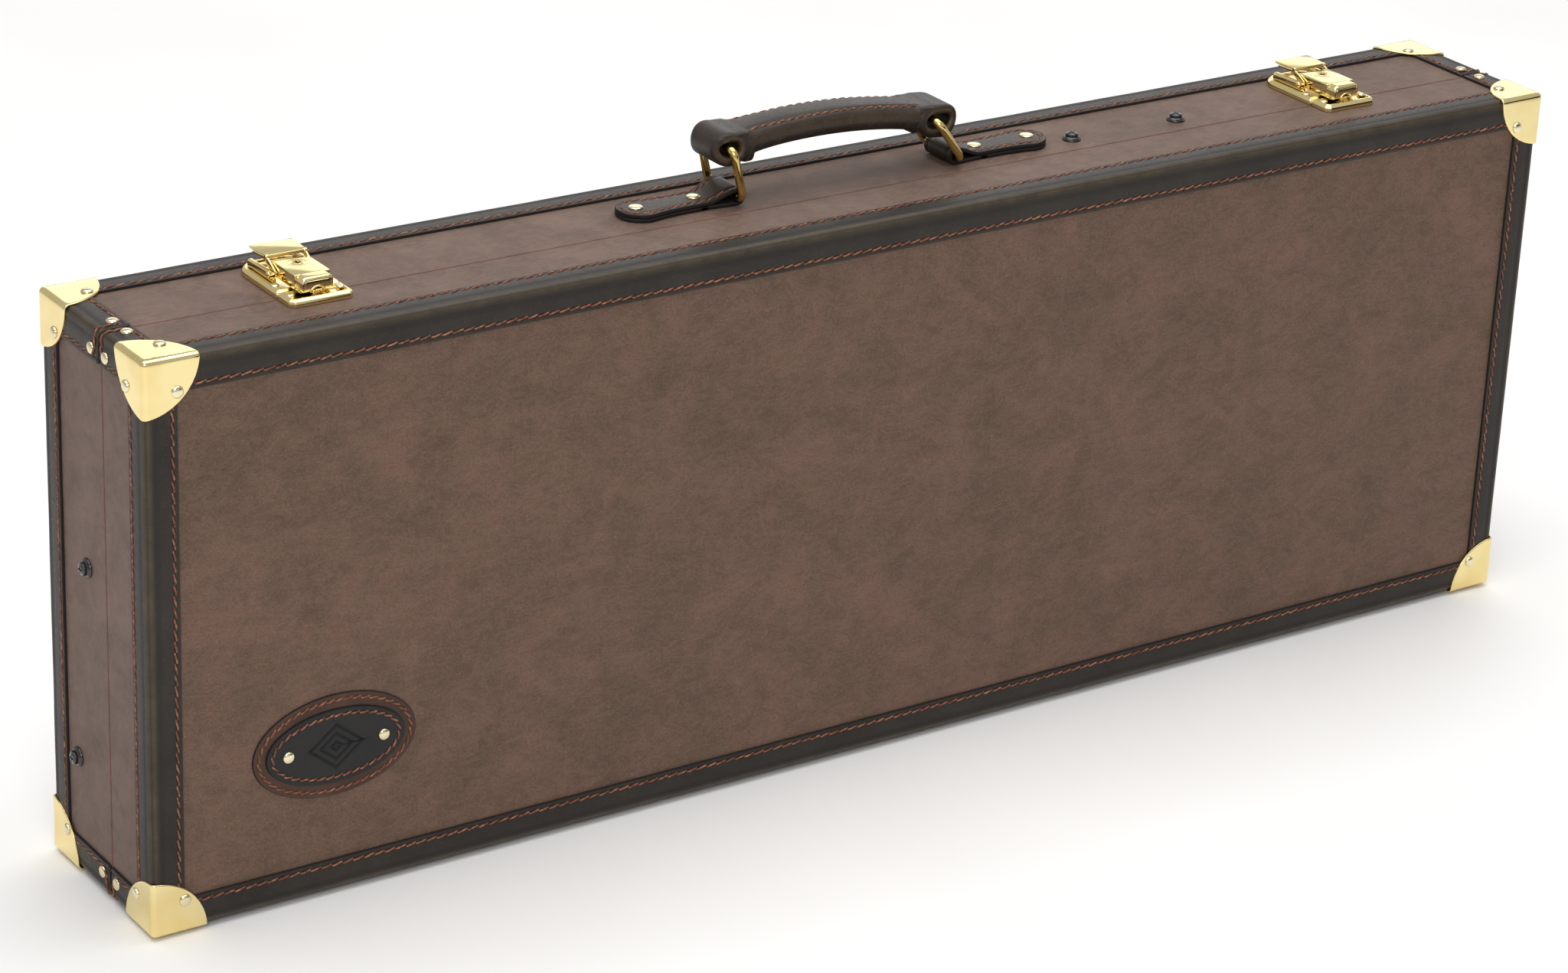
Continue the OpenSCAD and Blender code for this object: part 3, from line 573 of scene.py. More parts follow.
def skin_grid(name, sign):
    """Covering of one shell: face sheet, and the strip that goes round top, bottom and ends."""
    deep = abs(EDGE_OF[name] - FACE_OF[name])
    fine = mm(0, 0.8, 1.6, 2.4, 3.2, 4.2, 6, 12)
    near_edge = deep - mm(1, 0.5, 0.2, 0)
    down = join([fine, np.linspace(0, deep, 12)[4:-1], near_edge])
    turn_in = join([np.zeros(len(down) - 3), mm(0.04, 0.2, 0.55)])
    ys = FACE_OF[name] - sign * down
    shape = Shape()

    def stations(axis, count):
        lo, hi = outer_lo[axis], outer_hi[axis]
        return join([lo + fine, np.linspace(lo, hi, count)[3:-3], hi - fine[::-1]])

    def patch(a, b, fixed, at, slot, tuck=None):
        """One side of the shell, on the plane where the fixed axis has the value at."""
        u, v = np.meshgrid(a, b, indexing="ij")
        across = AXIS_Z if fixed == AXIS_Y else AXIS_Y
        q = np.empty((*u.shape, 3))
        q[..., fixed], q[..., across], q[..., 3 - fixed - across] = at, v, u
        extra = np.broadcast_to(0 if tuck is None else tuck, u.shape)
        spot, normal = wrap(q, IN_COVER + extra, COVER_EDGE_R)
        soft = ripple(u + 3 * v, 11 + slot, 0.09 * MM) + ripple(v - 2 * u, 23 + slot, 0.09 * MM)
        spot = spot - normal * np.abs(soft)[..., None] * (extra == 0)[..., None]
        edge = np.clip(extra / (0.5 * MM), 0, 1)
        if tuck is not None:
            under, _ = wrap(q[:, -1:], IN_COVER + 1 * MM, COVER_EDGE_R)
            spot = join([spot, under], 1)
            edge = join([edge, edge[:, -1:]], 1)
        shape.rings(spot, closed=False, caps=False, slot=slot, edge=edge)

    xs, zs = stations(AXIS_X, 110), stations(AXIS_Z, 44)
    patch(xs, zs, AXIS_Y, FACE_OF[name], 0)
    for fixed, along, slot in ((AXIS_Z, xs, 1), (AXIS_X, zs, 2)):
        for at in (outer_lo[fixed], outer_hi[fixed]):
            patch(along, ys, fixed, at, slot, turn_in)
    made = shape.build(name + "_covering", FRONT_COVER, LONG_COVER, END_COVER, weld=2e-6)
    piece(made, name, "cover_leather", name + "_cover")


# ---- edge bindings


def crease(s):
    """The shallow channel beside the rolled ridge of a binding."""
    return bell(np.abs(s) - RIDGE_AT, 1.5 * MM)


def strip_stations():
    """Distances from the case's edge at which half of a binding's section is drawn."""
    near = mm(0, 0.7, 1.4, 2.2, 3, 3.9, 4.8, 6, 7.5, 9, 11, 13)
    seam = STRIP_W - SEAM_IN + mm(-1.5, -0.9, -0.4, 0, 0.4, 0.9, 1.5)
    lip = STRIP_W - mm(0.7, 0.45, 0.2, 0.05, 0)
    return join([near, seam, lip])


def strip_height(s, t, seed):
    """Height of the binding's outer face over its nominal one, at s from the edge and t along."""
    inner = STRIP_W - np.abs(s)
    down = np.clip(STRIP_LIP_R - inner, 0, STRIP_LIP_R)
    height = -(STRIP_LIP_R - np.sqrt(np.maximum(STRIP_LIP_R**2 - down**2, 0)))
    pull = 0.75 + 0.25 * np.cos(2 * pi * t / STITCH_PITCH)
    height -= SEAM_DEPTH * pull * bell(inner - SEAM_IN, 0.75 * MM)
    height -= 0.3 * MM * crease(s)
    return height - np.abs(ripple(t, seed, 0.12 * MM)) * np.clip(1 - np.abs(s) / STRIP_W, 0.2, 1)


def edge_point(ends, side_a, side_b, s, t):
    """Points on the sharp box: t along an edge, and s across it, below 0 on one side of the edge."""
    (axis, start, sign), (axis_a, at_a, in_a), (axis_b, at_b, in_b) = ends, side_a, side_b
    q = np.empty((*np.broadcast(s, t).shape, 3))
    q[..., axis] = start + sign * t
    q[..., axis_a] = at_a + in_a * np.clip(-s, 0, None)
    q[..., axis_b] = at_b + in_b * np.clip(s, 0, None)
    return q


def strap_seam(length):
    """The line of stitches round three sides of a strap: s across and t along."""
    seam, last, turn_r = STRIP_W - SEAM_IN, length - SEAM_IN, 6 * MM
    lead = np.linspace(seam, last - turn_r, 12)
    bend = np.linspace(0, pi / 2, 8)
    line_t = join([lead, last - turn_r + turn_r * np.sin(bend)])
    line_s = join([np.full(12, -seam), -seam + turn_r * (1 - np.cos(bend))])
    middle = np.linspace(-seam + turn_r, seam - turn_r, 30)[1:-1]
    line_s = join([line_s, middle, -line_s[::-1]])
    return line_s, join([line_t, np.full(28, last), line_t[::-1]])


def strip(shape, thread, ends, side_a, side_b, length, seed, strap=False):
    """One L-shaped strip over an edge, mitred at the case's corners, with its seams.

    A strap is mitred at its start only, and its other end is folded and sewn across.
    """
    half = strip_stations()
    s = join([-half[::-1], half[1:]])
    share = np.linspace(0, 1, int(length / (1.55 * MM)) + 2)[:, None]
    start = np.abs(s)[None, :]
    stop = length - (0 if strap else start)
    t = start + (stop - start) * share
    across = np.broadcast_to(s, t.shape)
    height = strip_height(across, t, seed)
    if strap:
        gone = np.clip(1 - (length - t) / (0.8 * MM), 0, 1)
        height = height - 0.7 * MM * gone**2
        height = height - 0.6 * SEAM_DEPTH * bell(length - t - SEAM_IN, 0.9 * MM)
    q = edge_point(ends, side_a, side_b, across, t)
    top, _ = wrap(q, IN_STRIP - height, STRIP_EDGE_R + height)
    bottom, _ = wrap(q, np.full(t.shape, IN_STRIP + STRIP_T), COVER_EDGE_R)
    inner = STRIP_W - np.abs(across)
    wear_and_highlight = bell(np.abs(across) - 3 * MM, 1.9 * MM)
    # Dark cut edge, with painted shade in the seam groove and in the crease beside the ridge.
    cut = np.maximum(inner < 0.3 * MM, 0.6 * bell(inner - SEAM_IN, 0.6 * MM))
    cut = np.maximum(cut, 0.5 * crease(across))
    shape.rings(join([top, bottom[:, ::-1]], 1),
                wear_and_highlight=join([wear_and_highlight, np.zeros_like(wear_and_highlight)], 1),
                edge=join([cut, np.ones_like(cut)], 1))
    seam = STRIP_W - SEAM_IN
    run = np.linspace(seam, length - seam, 200)
    lines = [strap_seam(length)] if strap else [(np.full(200, side * seam), run) for side in (-1, 1)]
    for line_s, line_t in lines:
        height = strip_height(line_s, line_t, seed)
        q = edge_point(ends, side_a, side_b, line_s, line_t)
        stitches(thread, *wrap(q, IN_STRIP - height, STRIP_EDGE_R + height))


def bindings(name, sign):
    """Four strips round a shell's face, and the four short straps over its end edges."""
    face = (AXIS_Y, FACE_OF[name], -sign)
    strips, straps, thread = Shape(), Shape(), Shape()
    for axis, other, seed in ((AXIS_X, AXIS_Z, 31), (AXIS_Z, AXIS_X, 41)):
        for k, at in enumerate((outer_lo[other], outer_hi[other])):
            strip(strips, thread, (axis, outer_lo[axis], 1), (other, at, 1 - 2 * k), face,
                  outer_hi[axis] - outer_lo[axis], seed + k + sign)
    for k, x in enumerate((outer_lo[0], outer_hi[0])):
        for m, z in enumerate((outer_lo[2], outer_hi[2])):
            strip(straps, thread, face, (AXIS_Z, z, 1 - 2 * m), (AXIS_X, x, 1 - 2 * k),
                  abs(STRAP_END[name] - FACE_OF[name]), 51 + 2 * k + m + sign, strap=True)
    made = strips.build(name + "_edge_strips", BINDING, sharp=50)
    piece(made, name, "binding_leather", name + "_face_bindings")
    made = straps.build(name + "_end_straps", BINDING, sharp=50)
    piece(made, name, "binding_leather", name + "_end_bindings")
    piece(thread.build(name + "_binding_stitches", THREAD), name, "thread")


# ---- brass corners and rivets


def corner_plate(name, node):
    """A pressed corner: three quarter circles that meet in rounded edges, with a turned rim."""
    lo, hi = span(node)
    corner = np.where((lo + hi) / 2 < CENTRE, outer_lo, outer_hi)
    inward = np.sign(CENTRE - corner)
    reach = mm(0, 0.6, 1.2, 1.8, 2.4, 3.2, 4.4, 7, 11, 15, 19, 23, 27)
    rim = PLATE_REACH - mm(0.75, 0.3, 0.05, 0, 0.1)
    radii = join([reach, rim])
    drop = join([np.zeros(len(reach)), mm(0, 0.08, 0.3, 0.55, 0.95)])
    drop += np.interp(radii, [0, 10 * MM, 22 * MM, PLATE_REACH], [0, 0.05 * MM, 0.09 * MM, 0])
    near = np.array([0, 1.2, 2.4, 3.6, 4.9, 6.2, 7.6, 9.2, 11, 13.5, 17, 22, 30, 38])
    quarter = np.radians(join([near, [45], 90 - near[::-1]]))[:-1]
    places = []
    for face in range(3):
        for angle in quarter:
            spoke = np.zeros((len(radii), 3))
            spoke[:, (face + 1) % 3] = radii * cos(angle)
            spoke[:, (face + 2) % 3] = radii * sin(angle)
            places.append(corner + inward * spoke)
    q = np.array(places)
    inset = np.broadcast_to(drop, q.shape[:2])
    top, _ = wrap(q, inset, PLATE_EDGE_R - inset)
    under, _ = wrap(q[:, ::-1][:, 1:], np.full_like(inset[:, 1:], PLATE_T), PLATE_EDGE_R - PLATE_T)
    shape = Shape().rings(join([top, under], 1), closed=False, caps=False, looped=True)
    piece(shape.build(node + "_plate", BRASS, weld=1e-6), name, "brass", node)


# Sections of the turned heads: radius and height in millimetres
DOME = [(0, -0.5), (3.05, -0.5), (3.3, -0.2), (3.3, 0.1), (3.16, 0.55), (2.85, 0.95), (2.3, 1.25),
        (1.5, 1.47), (0.75, 1.57), (0, 1.6)]
BUTTON = [(0, -0.3), (3.8, -0.3), (3.9, 0), (3.9, 0.45), (3.7, 0.75), (3.2, 0.92), (2.2, 1.02),
          (0, 1.1)]
FOOT = [(0, -0.5), (3.3, -0.5), (3.3, 0.1), (3.1, 0.7), (2.6, 1.15), (1.9, 1.5), (1.6, 1.6), (0, 1.6)]
SMALL = [(0, -0.4), (2.3, -0.4), (2.3, 0.02), (2.05, 0.35), (1.5, 0.6), (0.8, 0.7), (0, 0.72)]
WASHER = [(2.4, 0), (5, 0), (5.3, 0.2), (5.3, 0.5), (5.1, 0.9), (4.5, 1.7), (4.1, 2.1), (3.9, 2.2),
          (3.75, 2.1), (3.3, 1.5), (2.4, 1.2)]
SCREW = [(0, 0.8), (2.2, 0.8), (2.9, 1.3), (3.6, 2.3), (3.6, 3), (3.4, 3.6), (2.8, 4.05),
         (1.8, 4.32), (0.8, 4.4), (0, 4.4)]
CROSS_HALF_LENGTH, CROSS_HALF_WIDTH, CROSS_FLOOR = 2.1, 0.42, 3.1


def seat(lo, hi, along, height=None):
    """Where a head starts, and the way it faces.

    It starts height below the outer end of the fastener's box, or else at its inner end.
    """
    base = (lo + hi) / 2
    out = 1 if base[along] > CENTRE[along] else -1
    inner, outer = (lo, hi) if out > 0 else (hi, lo)
    base[along] = inner[along] if height is None else outer[along] - out * height
    return base, np.eye(3)[along] * out


def heads(shape, node, profile, height, on_tabs=None):
    """Puts a turned head on the outer end of every fastener in a CAD node.

    on_tabs is the profile of those near the middle of the case, on the handle's tabs.
    """
    for lo, hi in solids(node):
        size = hi - lo
        base, axis = seat(lo, hi, int(np.argmax(np.abs(size - np.median(size)))), height)
        turned(shape, on_tabs if on_tabs and abs(base[0]) < TAB_ZONE else profile, base, axis)


def fasteners(name):
    rivets, small = Shape(), Shape()
    heads(rivets, name + "_rivets", DOME, CAP_H, BUTTON)
    heads(rivets, name + "_foot_rivets", FOOT, CAP_H)
    heads(small, name + "_small_rivets", SMALL, SMALL_CAP_H)
    made = rivets.build(name + "_rivet_caps", RIVET)
    piece(made, name, "brass", name + "_rivets", name + "_foot_rivets")
    piece(small.build(name + "_fitting_rivets", RIVET), name, "brass", name + "_small_rivets")


def box_cutter(lo, hi, to=None):
    """A box between two corners, placed by a function."""
    ring = np.array([[(x, y, z) for x, y in rectangle(lo[0], hi[0], lo[1], hi[1])]
                     for z in (lo[2], hi[2])], float)
    return Shape().rings(to(ring) if to else ring).build("cutter")


def divider_fixings():
    """Cup washers with cross-head screws."""
    cups, screws, cutters = Shape(), Shape(), []
    low = mm(-CROSS_HALF_LENGTH, -CROSS_HALF_WIDTH, CROSS_FLOOR)
    high = mm(CROSS_HALF_LENGTH, CROSS_HALF_WIDTH, 6)
    for lo, hi in solids("screw_washers"):
        base, axis = seat(lo, hi, int(np.argmin(hi - lo)))
        turned(cups, WASHER, base, axis, sides=40, caps=False)
        turned(screws, SCREW, base, axis, sides=32)
        across, other, up = basis(axis)
        for wide, deep in ((across, other), (other, across)):
            turn = np.array([wide, deep, up])
            cutters.append(box_cutter(low, high, lambda p, turn=turn, base=base: base + p @ turn))
    piece(cups.build("cup_washers", ENAMEL), "base", "black_metal", "screw_washers")
    made = carve(screws.build("screw_heads", ENAMEL), *cutters)
    piece(made, "base", "black_metal", "divider_screws")


# ---- latches

# Heights in a latch, in millimetres over the covering
RIM_TOP = 4.2
HOUSING_TOP = 12.6
FLAP_BOTTOM, FLAP_TOP = 13.3, 14.5
ROSETTE = [(2.7, -0.2), (2.7, 0.12), (3.3, 0.12), (3.5, 0.03), (4.8, 0.03), (4.95, 0.1), (5.2, 0.1),
           (5.35, -0.1)]
PLUG = [(0, -3), (2.5, -3), (2.5, 0.02), (2.3, 0.16), (1.9, 0.12), (1.7, 0), (0, -0.02)]
PLUG_SHADE = np.array([0, 0, 0.2, 0, 0.9, 0.3, 0.3])[:, None]
LEVER_PIVOT = [(0, -1), (1.15, -1), (1.35, -0.6), (1.35, 0.6), (1.15, 1), (0, 1)]


def stamped(shape, outline, radii, floor, rim, to):
    """A pressed plate: a skirt, a sloping shoulder, a flat rim, and a floor a little below it."""
    top = RIM_TOP
    steps = [(0.25, 0), (0, 0.25), (0, top - 1.7), (0.15, top - 1.45), (0.95, top - 0.5),
             (1.15, top - 0.45), (1.4, top - 0.1), (1.7, top), (rim - 0.4, top), (rim - 0.1, top - 0.12),
             (rim + 0.15, floor + 0.15), (rim + 0.5, floor)]
    rings = [
        np.column_stack([flat, np.full(len(flat), z)])
        for inset, z in steps for flat in [rounded(outline, radii, inset, 7)]
    ]
    shape.rings(to(np.array(rings)))


def latch(side):
    """Draw latch: plate with two rails, cross pin, lever, draw with lock housing, and strike."""
    name = f"latch_{side}_"
    plate_lo, plate_hi = span(name + "plate")
    origin = np.array([(plate_lo[0] + plate_hi[0]) / 2, SPLIT_Y, plate_lo[2]])
    half = (plate_hi[0] - plate_lo[0]) / 2 / MM

    def here(node):
        """A node's box in the latch's own millimetres."""
        return [(v - origin) / MM for v in span(name + node)]

    def to(points):
        return origin + np.asarray(points) * MM

    def put(shape, title, body, *nodes, cutters=(), material=BRASS, slot="brass"):
        made = shape.build(name + title, material)
        if cutters:
            carve(made, *cutters)
        piece(made, body if body in SHELLS else name + body, slot, *[name + node for node in nodes])

    plate = Shape()
    stamped(plate, rectangle(-half, half, 0.5, here("plate")[1][1]), (1.2, 1.2, 12, 12), 2.9, 3.3, to)
    put(plate, "base_plate", "base", "plate")
    rails, slots, rail_out, rail_t, rail_y = Shape(), [], 14.2, 2.8, 12.4
    for x in (-rail_out, rail_out - rail_t):
        bar = rectangle(rail_y, 40, 2.6, 8.8)
        slab(rails, bar, (1.4, 2.9, 2.9, 1.4), x, x + rail_t, (1, 2), 1.35, to)
        slots.append(box_cutter((x - 1, rail_y, 6.05), (x + 4, 17.8, 8.35), to))
    put(rails, "rails", "base", cutters=slots)

    strike, front = Shape(), here("strike")[0][1]
    chamfer, hook_y, hook_half, hook_top = 2.6, -6.9, 2, 6.3
    outline = [(-half + chamfer, front), (half - chamfer, front), (half, front + chamfer),
               (half, -0.5), (-half, -0.5), (-half, front + chamfer)]
    stamped(strike, outline, (0.9, 0.9, 0.9, 1, 1, 0.9), 3.1, 2.9, to)
    web, tongue = rectangle(-7.9, hook_y, 3, hook_top), rectangle(-11, hook_y, 5.4, hook_top)
    slab(strike, web, 0.3, -hook_half, hook_half, (1, 2), 0.3, to)
    slab(strike, tongue, 0.42, -hook_half, hook_half, (1, 2), 0.4, to)
    put(strike, "hook_plate", "lid", "strike")

    pin_lo, pin_hi = here("slide_pin")
    pin_at = to((pin_lo + pin_hi) / 2 * (0, 1, 1))
    reach = (pin_hi[0] - pin_lo[0]) / 2
    ends = [(0, -reach - 1.9), (0.9, -reach - 1.8), (1.55, -reach - 1.3), (1.75, -reach - 0.8),
            (1, -reach - 0.7)]
    pin = turned(Shape(), ends + [(r, -h) for r, h in reversed(ends)], pin_at, (1, 0, 0), sides=20)
    put(pin, "cross_pin", "pin", "slide_pin")

    lever, heel_half, toe_half, clear_y = Shape(), 11.3, 12.5, 23.6
    start, end = max(here("lever")[0][1], clear_y), here("lever")[1][1]
    flap = [(-heel_half, start), (heel_half, start), (toe_half, end), (-toe_half, end)]
    slab(lever, flap, (0.6, 0.6, 2.2, 1), FLAP_BOTTOM, FLAP_TOP, (0, 1), 0.4, to)
    for x in (-11.6, 10.9):
        slab(lever, rectangle(start + 0.6, end - 2.5, 11.7, 13.8), 0.5, x, x + 0.7, (1, 2), 0.2, to)
    lug = [(14.5, 6), (16.8, 4.9), (19, 6.4), (start + 5, 13.6), (start + 0.2, 13.6), (15.2, 9)]
    for x in (-heel_half, heel_half - 1):
        slab(lever, lug, 1, x, x + 1, (1, 2), 0.25, to)
        turned(lever, LEVER_PIVOT, to([x + 0.5, start + 0.9, 13.4]), (1, 0, 0), 18)
    slab(lever, rectangle(start, start + 1.8, 12.5, 14.3), 0.85, -11.2, 11.2, (1, 2), 0.3, to)
    put(lever, "flap", "lever", "lever")

    claw, claw_half, claw_low, claw_radii = [], 9.25, 4.5, (0.4, 0.4, 3.4, 3.4)
    for y, inset in ((-2.5, 0), (-7.6, 0), (-8.5, 0.12), (-9.1, 0.45), (-9.4, 0.9), (-9.5, 1.3),
                     (-9.5, 1.7), (-9.3, 1.85), (-9.3, 2), (-9.5, 2.2)):
        outline = rectangle(-claw_half, claw_half, claw_low, HOUSING_TOP)
        claw.append(upright(rounded(outline, claw_radii, inset, 7), y))
    hollow = box_cutter((-8, -8.3, 3), (8, -1, 11.5), to)
    arch = turned(Shape(), [(3.6, 0), (3.6, 3)], to([0, -7, 3.6]), (0, -1, 0)).build("cutter")
    put(Shape().rings(to(np.array(claw))), "claw", "draw", cutters=(hollow, arch))

    block = [(-3.5, 5), (15.5, 5), (18.8, 6.2), (20.4, 8.9), (20.4, HOUSING_TOP), (-3.5, HOUSING_TOP)]
    housing = slab(Shape(), block, (0.3, 1, 1, 0.8, 0.8, 0.6), -10, 10, (1, 2), 0.45, to)
    plug_at = to(sum(here("lock_plug")) / 2 * (1, 1, 0) + (0, 0, HOUSING_TOP))
    bore = turned(Shape(), [(2.55, -3.1), (2.55, 1)], plug_at, (0, 0, 1), 40).build("cutter")
    put(housing, "housing", "draw", "draw", cutters=[bore])
    bend = np.linspace(0, pi, 17)
    lip = np.column_stack([3.9 * np.cos(bend), np.full(17, -9.4), 4.6 + 2.9 * np.sin(bend)])
    trim = tube(Shape(), to(lip), 0.55 * MM, 10, up=(0, -1, 0))
    turned(trim, ROSETTE, plug_at, (0, 0, 1), 40, caps=False)
    put(trim, "rosette", "draw")

    plug = turned(Shape(), PLUG, plug_at, (0, 0, 1), edge=PLUG_SHADE)
    slots = [
        box_cutter(mm(-a, -b, -1.8) + plug_at, mm(a, b, 2) + plug_at)
        for a, b in ((1.9, 0.55), (0.55, 1.9))
    ]
    put(plug, "keyhole", "lock", "lock_plug", cutters=slots, material=OLD_BRASS)
    # A black disc under the key slots: painted shade standing in for the depth of the keyway.
    keyway_shade = turned(Shape(), [(0, -2.2), (1.6, -2.2), (1.6, -1.6), (0, -1.6)], plug_at, (0, 0, 1))
    put(keyway_shade, "keyhole_shade_disc", "lock", material=ENAMEL, slot="black_metal")


# ---- handle


def ring_ends(side):
    """Centre of a ring's foot bar and of its top bar."""
    joint = next(j for j in frame["joints"] if j["name"] == f"handle_{side}_ring_lean")
    lo, hi = span(f"handle_{side}_ring")
    foot = np.array(joint["pos_m"], float)
    return foot, np.array([lo[0] + WIRE_R, foot[1], hi[2] - WIRE_R])


def ring(side):
    foot, top = ring_ends(side)
    lo, hi = span(f"handle_{side}_ring")
    half = ((hi[1] - lo[1]) / 2 - WIRE_R) / MM
    rise = np.linalg.norm(top - foot)
    up = (top - foot) / rise
    outline = rounded(rectangle(-half, half, 0, rise / MM), RING_CORNER_R, 0, 10) * MM
    legs = foot + outline[:, :1] * np.array([0, 1, 0]) + outline[:, 1:] * up
    legs = join([legs, legs[:1]])
    steps = np.linalg.norm(np.diff(legs, axis=0), axis=1)
    length = join([[0], np.cumsum(steps)])
    even = np.linspace(0, length[-1], 90, endpoint=False)
    path = np.array([np.interp(even, length, legs[:, k]) for k in range(3)]).T
    made = tube(Shape(), path, WIRE_R, 20, looped=True, up=np.cross(up, (0, 1, 0)))
    made = made.build(f"handle_{side}_wire", OLD_BRASS)
    piece(made, f"handle_{side}_ring", "ring_brass", f"handle_{side}_ring")


STRAP_T = 2.1


def strap_section(half):
    """Closed section of a thick leather strap: across, height, and how far it is a cut edge."""
    t = STRAP_T / 2
    top = [(0, t - 0.55, 1), (0.16, t - 0.16, 1), (0.5, t, 0.4), (1.2, t + 0.03, 0), (2.1, t, 0),
           (2.6, t - 0.2, 0), (3, t - 0.32, 0), (3.4, t - 0.2, 0), (3.9, t, 0), (6, t + 0.12, 0)]
    low = [(0.5, -t, 0.6), (0, -t + 0.45, 1)]
    rows = [(-1, *p) for p in top] + [(1, *p) for p in reversed(top)]
    rows += [(1, *p) for p in reversed(low)] + [(-1, *p) for p in low]
    return [(side * max(half - inset, 0), high, cut) for side, inset, high, cut in rows]


def anchor(side, sign):
    """Leather tab: a strap folded round the ring's foot, with both layers stitched together.

    In millimetres, a runs from the ring's foot to the tip, and heights start at the covering.
    """
    foot, _ = ring_ends(side)
    lo, hi = span(f"handle_{side}_anchor")
    tip = (max(abs(lo[0]), abs(hi[0])) - abs(foot[0])) / MM
    round_r = (hi[1] - lo[1]) / 2 / MM
    neck, neck_at, foot_half = 10.9, 32, 12.2
    upper, lower, loop_r, loop_z = 3.4, 1.06, 3.85, (foot[2] - lo[2]) / MM
    seam_in, seam_start = 3, 6.5

    def half_width(a):
        if a > tip - round_r:
            return sqrt(max(round_r**2 - (a - tip + round_r) ** 2, 1e-4))
        flare = max(0, min(1, (a - neck_at) / (tip - round_r - neck_at)))
        return max(neck + (round_r - neck) * flare**2, foot_half - max(0, a - 4) * 0.13)

    def to(a, y, z):
        return np.column_stack([foot[0] + sign * a * MM, foot[1] + y * MM, lo[2] + z * MM])

    out = tip - round_r * (1 - np.cos(np.linspace(0, pi / 2, 13)))
    run = np.linspace(out[-1], 18, 14)[1:]
    rise = [(15, 3.7), (12, 4.7), (9, 6), (6, 7.35), (3.4, 8.35)]
    turn = np.radians(np.linspace(68, 262, 15))
    path = [(a, upper) for a in [*out, *run]] + rise
    path += [(loop_r * cos(k), loop_z + loop_r * sin(k)) for k in turn]
    path += [(a, lower) for a in [3, 6, 10, 15, 22, *run[::-1][::3], *out[::-1]]]
    path = np.array(path)
    ahead = unit(np.gradient(path, axis=0))
    rings, cuts = [], []
    for (a, z), (across, along) in zip(path, ahead):
        y, h, cut = np.array(strap_section(half_width(a))).T
        rings.append(to(a + h * along, y, z - h * across))
        cuts.append(cut)
    made = Shape().rings(rings, edge=cuts).build(f"handle_{side}_tab", HANDLE)
    piece(made, "base", "handle_leather", f"handle_{side}_anchor")

    in_r = round_r - seam_in
    sides = [(a, half_width(a) - seam_in) for a in np.linspace(seam_start, tip - round_r, 30)]
    end = [(tip - round_r + in_r * sin(k), -in_r * cos(k))
           for k in np.linspace(0.1, pi - 0.1, 24)]
    a, y = np.array([(a, -y) for a, y in sides] + end + sides[::-1]).T
    slope_a, slope_z = np.array([*reversed(rise), (18, upper)]).T
    tilt = np.interp(a + 1, slope_a, slope_z) - np.interp(a - 1, slope_a, slope_z)
    facing = unit(np.column_stack([-sign * tilt, 0 * a, 2 + 0 * a]))
    path = to(a, y, np.interp(a, slope_a, slope_z))
    thread = Shape()
    stitches(thread, path + facing * (STRAP_T / 2 - 0.3) * MM, facing, 5.4 * MM)
    piece(thread.build(f"handle_{side}_tab_stitches", THREAD), "base", "thread")


